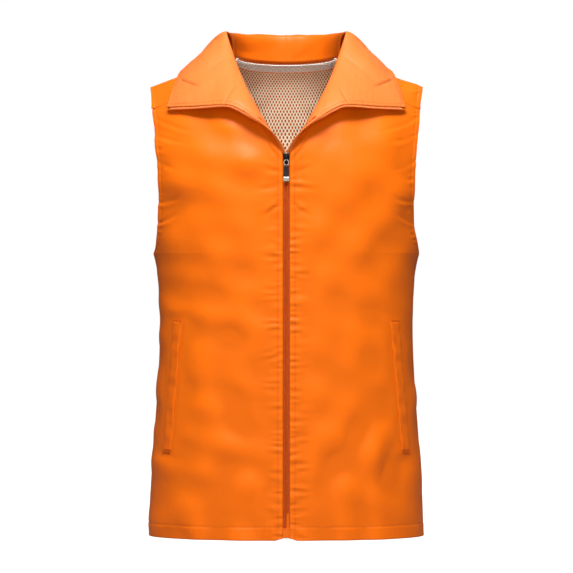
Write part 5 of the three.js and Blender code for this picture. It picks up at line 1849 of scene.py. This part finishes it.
@dataclass
class SliderAndPull:
    """The slider's two plates and web, its bridge, and the pull's ring, grip and tip."""

    room: Workroom
    hinge_y: float = -128.455
    hinge_z: float = 527.155
    squareness: float = 5.0
    around: int = 28
    ring_radius: float = 3.35
    ring_wire: float = 0.68
    ring_drop: float = 3.6

    def moulded(self, stations: Sequence[Station]) -> tuple[Array, list[Array]]:
        """A closed bar of superellipse sections, domed at both ends.

        Args:
            stations: its sections from the top down or the bottom up.

        Returns:
            Points and the arrays of their faces.
        """
        first, last = stations[0], stations[-1]
        step = math.copysign(0.25, last.z - first.z)
        ends = [
            Station(first.z, first.y, first.half_width * 0.8, first.half_thick * 0.5),
            Station(first.z - step, first.y, first.half_width * 0.96, first.half_thick * 0.9),
        ]
        tail = [
            Station(last.z + step, last.y, last.half_width * 0.96, last.half_thick * 0.9),
            Station(last.z, last.y, last.half_width * 0.8, last.half_thick * 0.5),
        ]
        body = [*ends, *stations[1:-1], *tail]
        table = np.array([[s.z, s.y, s.half_width, s.half_thick] for s in body])
        angle = np.arange(self.around) * TAU / self.around
        power = 2.0 / self.squareness
        c = np.sign(np.cos(angle)) * np.abs(np.cos(angle)) ** power
        d = np.sign(np.sin(angle)) * np.abs(np.sin(angle)) ** power
        x = table[:, 2, None] * c
        y = table[:, 1, None] + table[:, 3, None] * d
        z = np.broadcast_to(table[:, 0, None], x.shape)
        points = np.stack([x, y, z], -1)
        faces = ring_faces(np.arange(points.shape[0] * self.around).reshape(points.shape[:2]))
        if last.z < first.z:
            faces = [f[:, ::-1] for f in faces]
        return points.reshape(-1, 3), faces

    def bars(self, name: str, bars: Sequence[Sequence[Station]], finish: Finish) -> bpy.types.Object:
        """Makes one piece of several moulded bars."""
        points, faces = joined([self.moulded(stations) for stations in bars])
        return self.room.build(name, points, faces, finish)

    def slider(self) -> None:
        """The body: a front plate that narrows to its foot, a back plate and the web between them."""
        front = [(522.0, 3.6), (524.0, 3.85), (529.0, 4.1), (533.0, 4.55), (535.0, 4.6), (536.0, 4.3)]
        plates = [[Station(z, -126.45, half, 0.75) for z, half in front]]
        plates.append([Station(z, -121.25, half, 0.55) for z, half in front])
        plates.append([Station(z, -123.8, 0.25, 2.2) for z in (530.0, 532.0, 534.0, 535.6)])
        body = self.bars("slider_plates", plates, LACQUER)
        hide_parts("zip_slider_body")
        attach(body, "slider")
        t = np.linspace(0, 1, 25)[:, None]
        bow = ((-126.9, 533.6), (-131.0, 534.2), (-131.2, 524.6), (-126.9, 524.4))
        path = bezier(*(np.array([0.0, y, z]) for y, z in bow), t)
        radius = np.full(25, 0.85)
        across = np.array([1.0, 0.0, 0.0])
        bridge = tube(self.room, "slider_bridge_bow", path, radius, 12, LACQUER, across)
        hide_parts("zip_slider_bridge")
        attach(bridge, "slider")

    def ring(self) -> None:
        """The pull's ring: a round wire bent to a slightly tall ring, flat at the front."""
        turn = np.arange(48) * TAU / 48
        round_wire = np.arange(12) * TAU / 12
        radius = self.ring_radius + self.ring_wire * np.cos(round_wire)[None, :]
        x = radius * np.cos(turn)[:, None]
        z = self.hinge_z - self.ring_drop + 1.12 * radius * np.sin(turn)[:, None]
        y = np.broadcast_to(self.hinge_y + 0.62 * np.sin(round_wire)[None, :], x.shape)
        points = np.stack([x, y, z], -1)
        number = np.arange(48 * 12).reshape(48, 12)
        ahead, up = np.roll(number, -1, axis=0), np.roll(number, -1, axis=1)
        both = np.roll(ahead, -1, axis=1)
        quads = np.stack([number, up, both, ahead], -1).reshape(-1, 4)
        ring = self.room.build("pull_ring", points.reshape(-1, 3), [quads[:, ::-1]], PLATED)
        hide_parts("pull_eye")
        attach(ring, "pull")

    def pull(self) -> None:
        """The grip, ribbed across, and its bright tip."""
        top = self.hinge_z
        heights = np.linspace(top - 8.2, top - 23.4, 30)
        share = np.linspace(0, 1, 30)
        ribs = 0.1 * np.sin(TAU * share * 6) * ramp(share, 0.3, 0.4) * ramp(share, 0.95, 0.85)
        half = lerp(3.0, 3.75, ease(np.clip(share * 2.2, 0, 1)))
        thick = 0.95 + ribs
        grip = [Station(z, self.hinge_y, w, t) for z, w, t in zip(heights, half, thick)]
        neck = [Station(top - 6.9, self.hinge_y, 1.5, 0.6), Station(top - 7.5, self.hinge_y, 1.6, 0.65)]
        neck.append(Station(top - 8.6, self.hinge_y, 1.7, 0.65))
        piece = self.bars("pull_grip_moulding", [grip, neck], GRIP)
        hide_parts("pull_grip")
        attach(piece, "pull")
        outline = ((23.6, 4.2), (24.4, 4.4), (28.4, 4.4), (29.5, 4.1))
        tip = [Station(top - z, self.hinge_y, w, 1.15) for z, w in outline]
        piece = self.bars("pull_tip_cap", [tip], PLATED)
        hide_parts("pull_tip")
        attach(piece, "pull")

    def make(self) -> None:
        """Builds the slider and its pull."""
        self.slider()
        self.ring()
        self.pull()


# ---- Pockets ---------------------------------------------------------------------------------------


@dataclass
class Pockets:
    """Slanted welts with stitched ends."""

    room: Workroom
    width: float = 18.0
    standoff: float = 1.5

    def surface(self, low: float, high: float, side: Side) -> Cloth:
        """A strip of the body's front between two heights along the pocket's slant."""
        z = np.linspace(low, high, max(6, round((high - low) / 2.2)))
        share = np.linspace(-1, 1, 15)
        centre = BODY.pocket_x(z)
        full = BODY.front_depth
        slope = (BODY.depth(centre - 1, z, full) - BODY.depth(centre + 1, z, full)) / 2
        half = self.width / 2 / np.hypot(1, slope)
        x = centre[None, :] + half[None, :] * share[:, None]
        height = np.broadcast_to(z, x.shape)
        grid = np.stack([x, BODY.front_y(x, height), height], -1)
        return side.cloth(grid, np.array([0.6, -1.0, 0.0]))

    def make(self) -> None:
        """Builds both welts, their stitching and bar tacks."""
        low, high = BODY.pocket_bottom[1], BODY.pocket_top[1]
        tacks = Stitch(pitch=0.9, length=1.5, radius=0.35)
        for side in Side:
            word = side.word
            plain = self.surface(low, high, side)
            seed = 201 if side is Side.LEFT else 207
            sag = 0.4 * Ripples(seed, 30.0)(plain.points[..., 2], plain.across)
            cloth = plain.raised(self.standoff + sag * ramp(plain.along, 0, 12))
            side_edge = np.minimum(plain.across, plain.across[-1] - plain.across)
            turned_in = 0.7 * (1 - ramp(side_edge, 0.0, 1.4))
            cloth = cloth.raised(-turned_in - 0.25 * ridge(side_edge - 1.6, 0.8))
            # Painted shade in the grooves of the stitching along the welt's two long edges.
            painted_shading = 1 - 0.14 * ridge(side_edge - 1.6, 0.9)
            welt = cloth.sheet(self.room, f"pocket_welt_{word}_cloth", WELT_CLOTH, 1.1, painted_shading)
            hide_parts(f"pocket_welt_{word}")
            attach(welt, "vest")
            plain.declare(welt, "stretched", [f"front_panel_{word}"])
            lines = [cloth.seam(edge, 1.6) for edge in ("start", "end", "top", "bottom")]
            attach(sew(self.room, f"welt_stitching_{word}", lines, Stitch()), "vest")
            for end, foot in (("top", high + 0.6), ("bottom", low - 3.1)):
                tack = self.surface(foot, foot + 2.5, side).raised(np.array(self.standoff - 0.2))
                rows = [tack.seam("bottom", d) for d in (0.3, 0.9, 1.5, 2.1)]
                bar = sew(self.room, f"pocket_tack_{end}_{word}_thread", rows, tacks, TACK)
                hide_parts(f"pocket_tack_{end}_{word}")
                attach(bar, "vest")


# ---- Studio ------------------------------------------------------------------------------------------


@dataclass
class Studio:
    """Camera, pale floor and soft light."""

    distance: float = 5.0
    eye: float = 0.352
    frame_width: float = 0.8137
    surround: float = 0.16
    floor_glow: float = 0.98

    def camera(self) -> None:
        """A long lens level with the middle of the vest, straight in front of it."""
        data = bpy.data.cameras.new("camera")
        data.sensor_width = 36.0
        data.lens = self.distance / self.frame_width * 36.0
        data.clip_end = 50.0
        camera = bpy.data.objects.new("camera", data)
        camera.location = (0.0003, -self.distance, self.eye)
        camera.rotation_euler = (math.pi / 2, 0.0, 0.0)
        bpy.context.scene.collection.objects.link(camera)
        bpy.context.scene.camera = camera

    def seen(self, tree: bpy.types.NodeTree, plain: float, white: float) -> bpy.types.NodeSocket:
        """A brightness that is white where it is looked at and plain where it only lights the vest."""
        path = tree.nodes.new("ShaderNodeLightPath")
        level = tree.nodes.new("ShaderNodeMapRange")
        level.inputs["To Min"].default_value = plain
        level.inputs["To Max"].default_value = white
        tree.links.new(path.outputs["Is Camera Ray"], level.inputs["Value"])
        return level.outputs[0]

    def floor(self) -> None:
        """A wide pale floor under the hem."""
        size, depth = 6.0, -0.0006
        mesh = bpy.data.meshes.new("floor")
        corners = [(x * size, y * size, depth) for x, y in ((-1, -1), (1, -1), (1, 1), (-1, 1))]
        mesh.from_pydata(corners, [], [(0, 1, 2, 3)])
        n = Nodes("floor_paint")
        n.shader.inputs["Base Color"].default_value = (0.24, 0.22, 0.19, 1.0)
        n.shader.inputs["Roughness"].default_value = 0.9
        n.shader.inputs["Specular IOR Level"].default_value = 0.0
        n.shader.inputs["Emission Color"].default_value = (1.0, 1.0, 1.0, 1.0)
        n.join(self.seen(n.tree, 0.02, self.floor_glow), n.shader.inputs["Emission Strength"])
        mesh.materials.append(n.material)
        floor = bpy.data.objects.new("floor", mesh)
        bpy.context.scene.collection.objects.link(floor)

    def area(
        self,
        name: str,
        place: Place,
        size: tuple[float, float],
        power: float,
        mirrored: bool = True,
    ) -> None:
        """A soft oblong light that faces the vest.

        Args:
            name: its name.
            place: where it stands.
            size: its two sides.
            power: its power in watts.
            mirrored: whether it shows in the gloss.
        """
        data = bpy.data.lights.new(name, "AREA")
        data.shape = "RECTANGLE"
        data.size, data.size_y = size
        data.energy = power
        light = bpy.data.objects.new(name, data)
        light.location = place
        light.visible_glossy = mirrored
        target = np.array([0.0, 0.0, 0.45]) - np.array(place)
        flat = math.hypot(target[0], target[1])
        light.rotation_euler = (math.atan2(flat, -target[2]), 0.0, math.atan2(-target[0], target[1]))
        bpy.context.scene.collection.objects.link(light)

    def world(self) -> None:
        """A plain pale surround: white to look at, and warm where it lights the vest."""
        world = bpy.data.worlds.new("surround")
        bpy.context.scene.world = world
        world.use_nodes = True
        back = world.node_tree.nodes["Background"]
        tree = world.node_tree
        tree.links.new(self.seen(tree, self.surround, 1.0), back.inputs["Strength"])
        tint = tree.nodes.new("ShaderNodeMix")
        tint.data_type = "RGBA"
        tint.inputs[6].default_value = (1.0, 0.78, 0.46, 1.0)
        tint.inputs[7].default_value = (1.0, 1.0, 1.0, 1.0)
        tree.links.new(self.seen(tree, 0.0, 1.0), tint.inputs["Factor"])
        tree.links.new(tint.outputs[2], back.inputs["Color"])

    def make(self) -> None:
        """Sets up the studio."""
        self.camera()
        self.floor()
        self.world()
        self.area("key_light", (-0.05, -1.5, 2.7), (1.5, 0.5), 104.0)
        self.area("front_light", (0.0, -3.8, 0.6), (1.2, 1.2), 37.0, mirrored=False)
        self.area("back_light", (0.3, 2.8, 2.2), (2.6, 1.0), 64.0, mirrored=False)
        bpy.context.scene.view_settings.view_transform = "Standard"
        bpy.context.scene.view_settings.look = "None"


# ---- The whole vest -----------------------------------------------------------------------------------


def main() -> None:
    """Builds the vest round its frame."""
    logging.basicConfig(level=logging.INFO, format="%(name)s: %(message)s")
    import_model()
    studio = Studio()
    studio.make()
    room = Workroom()
    hinge = Hinge()
    Shell(room).make()
    Inside(room).make()
    collar = Collar(room, hinge)
    collar.make()
    Zip(room, hinge, collar.chains).make()
    SliderAndPull(room).make()
    Pockets(room).make()
    LOG.info("%d pieces made", room.made)


if __name__ == "__main__":
    main()
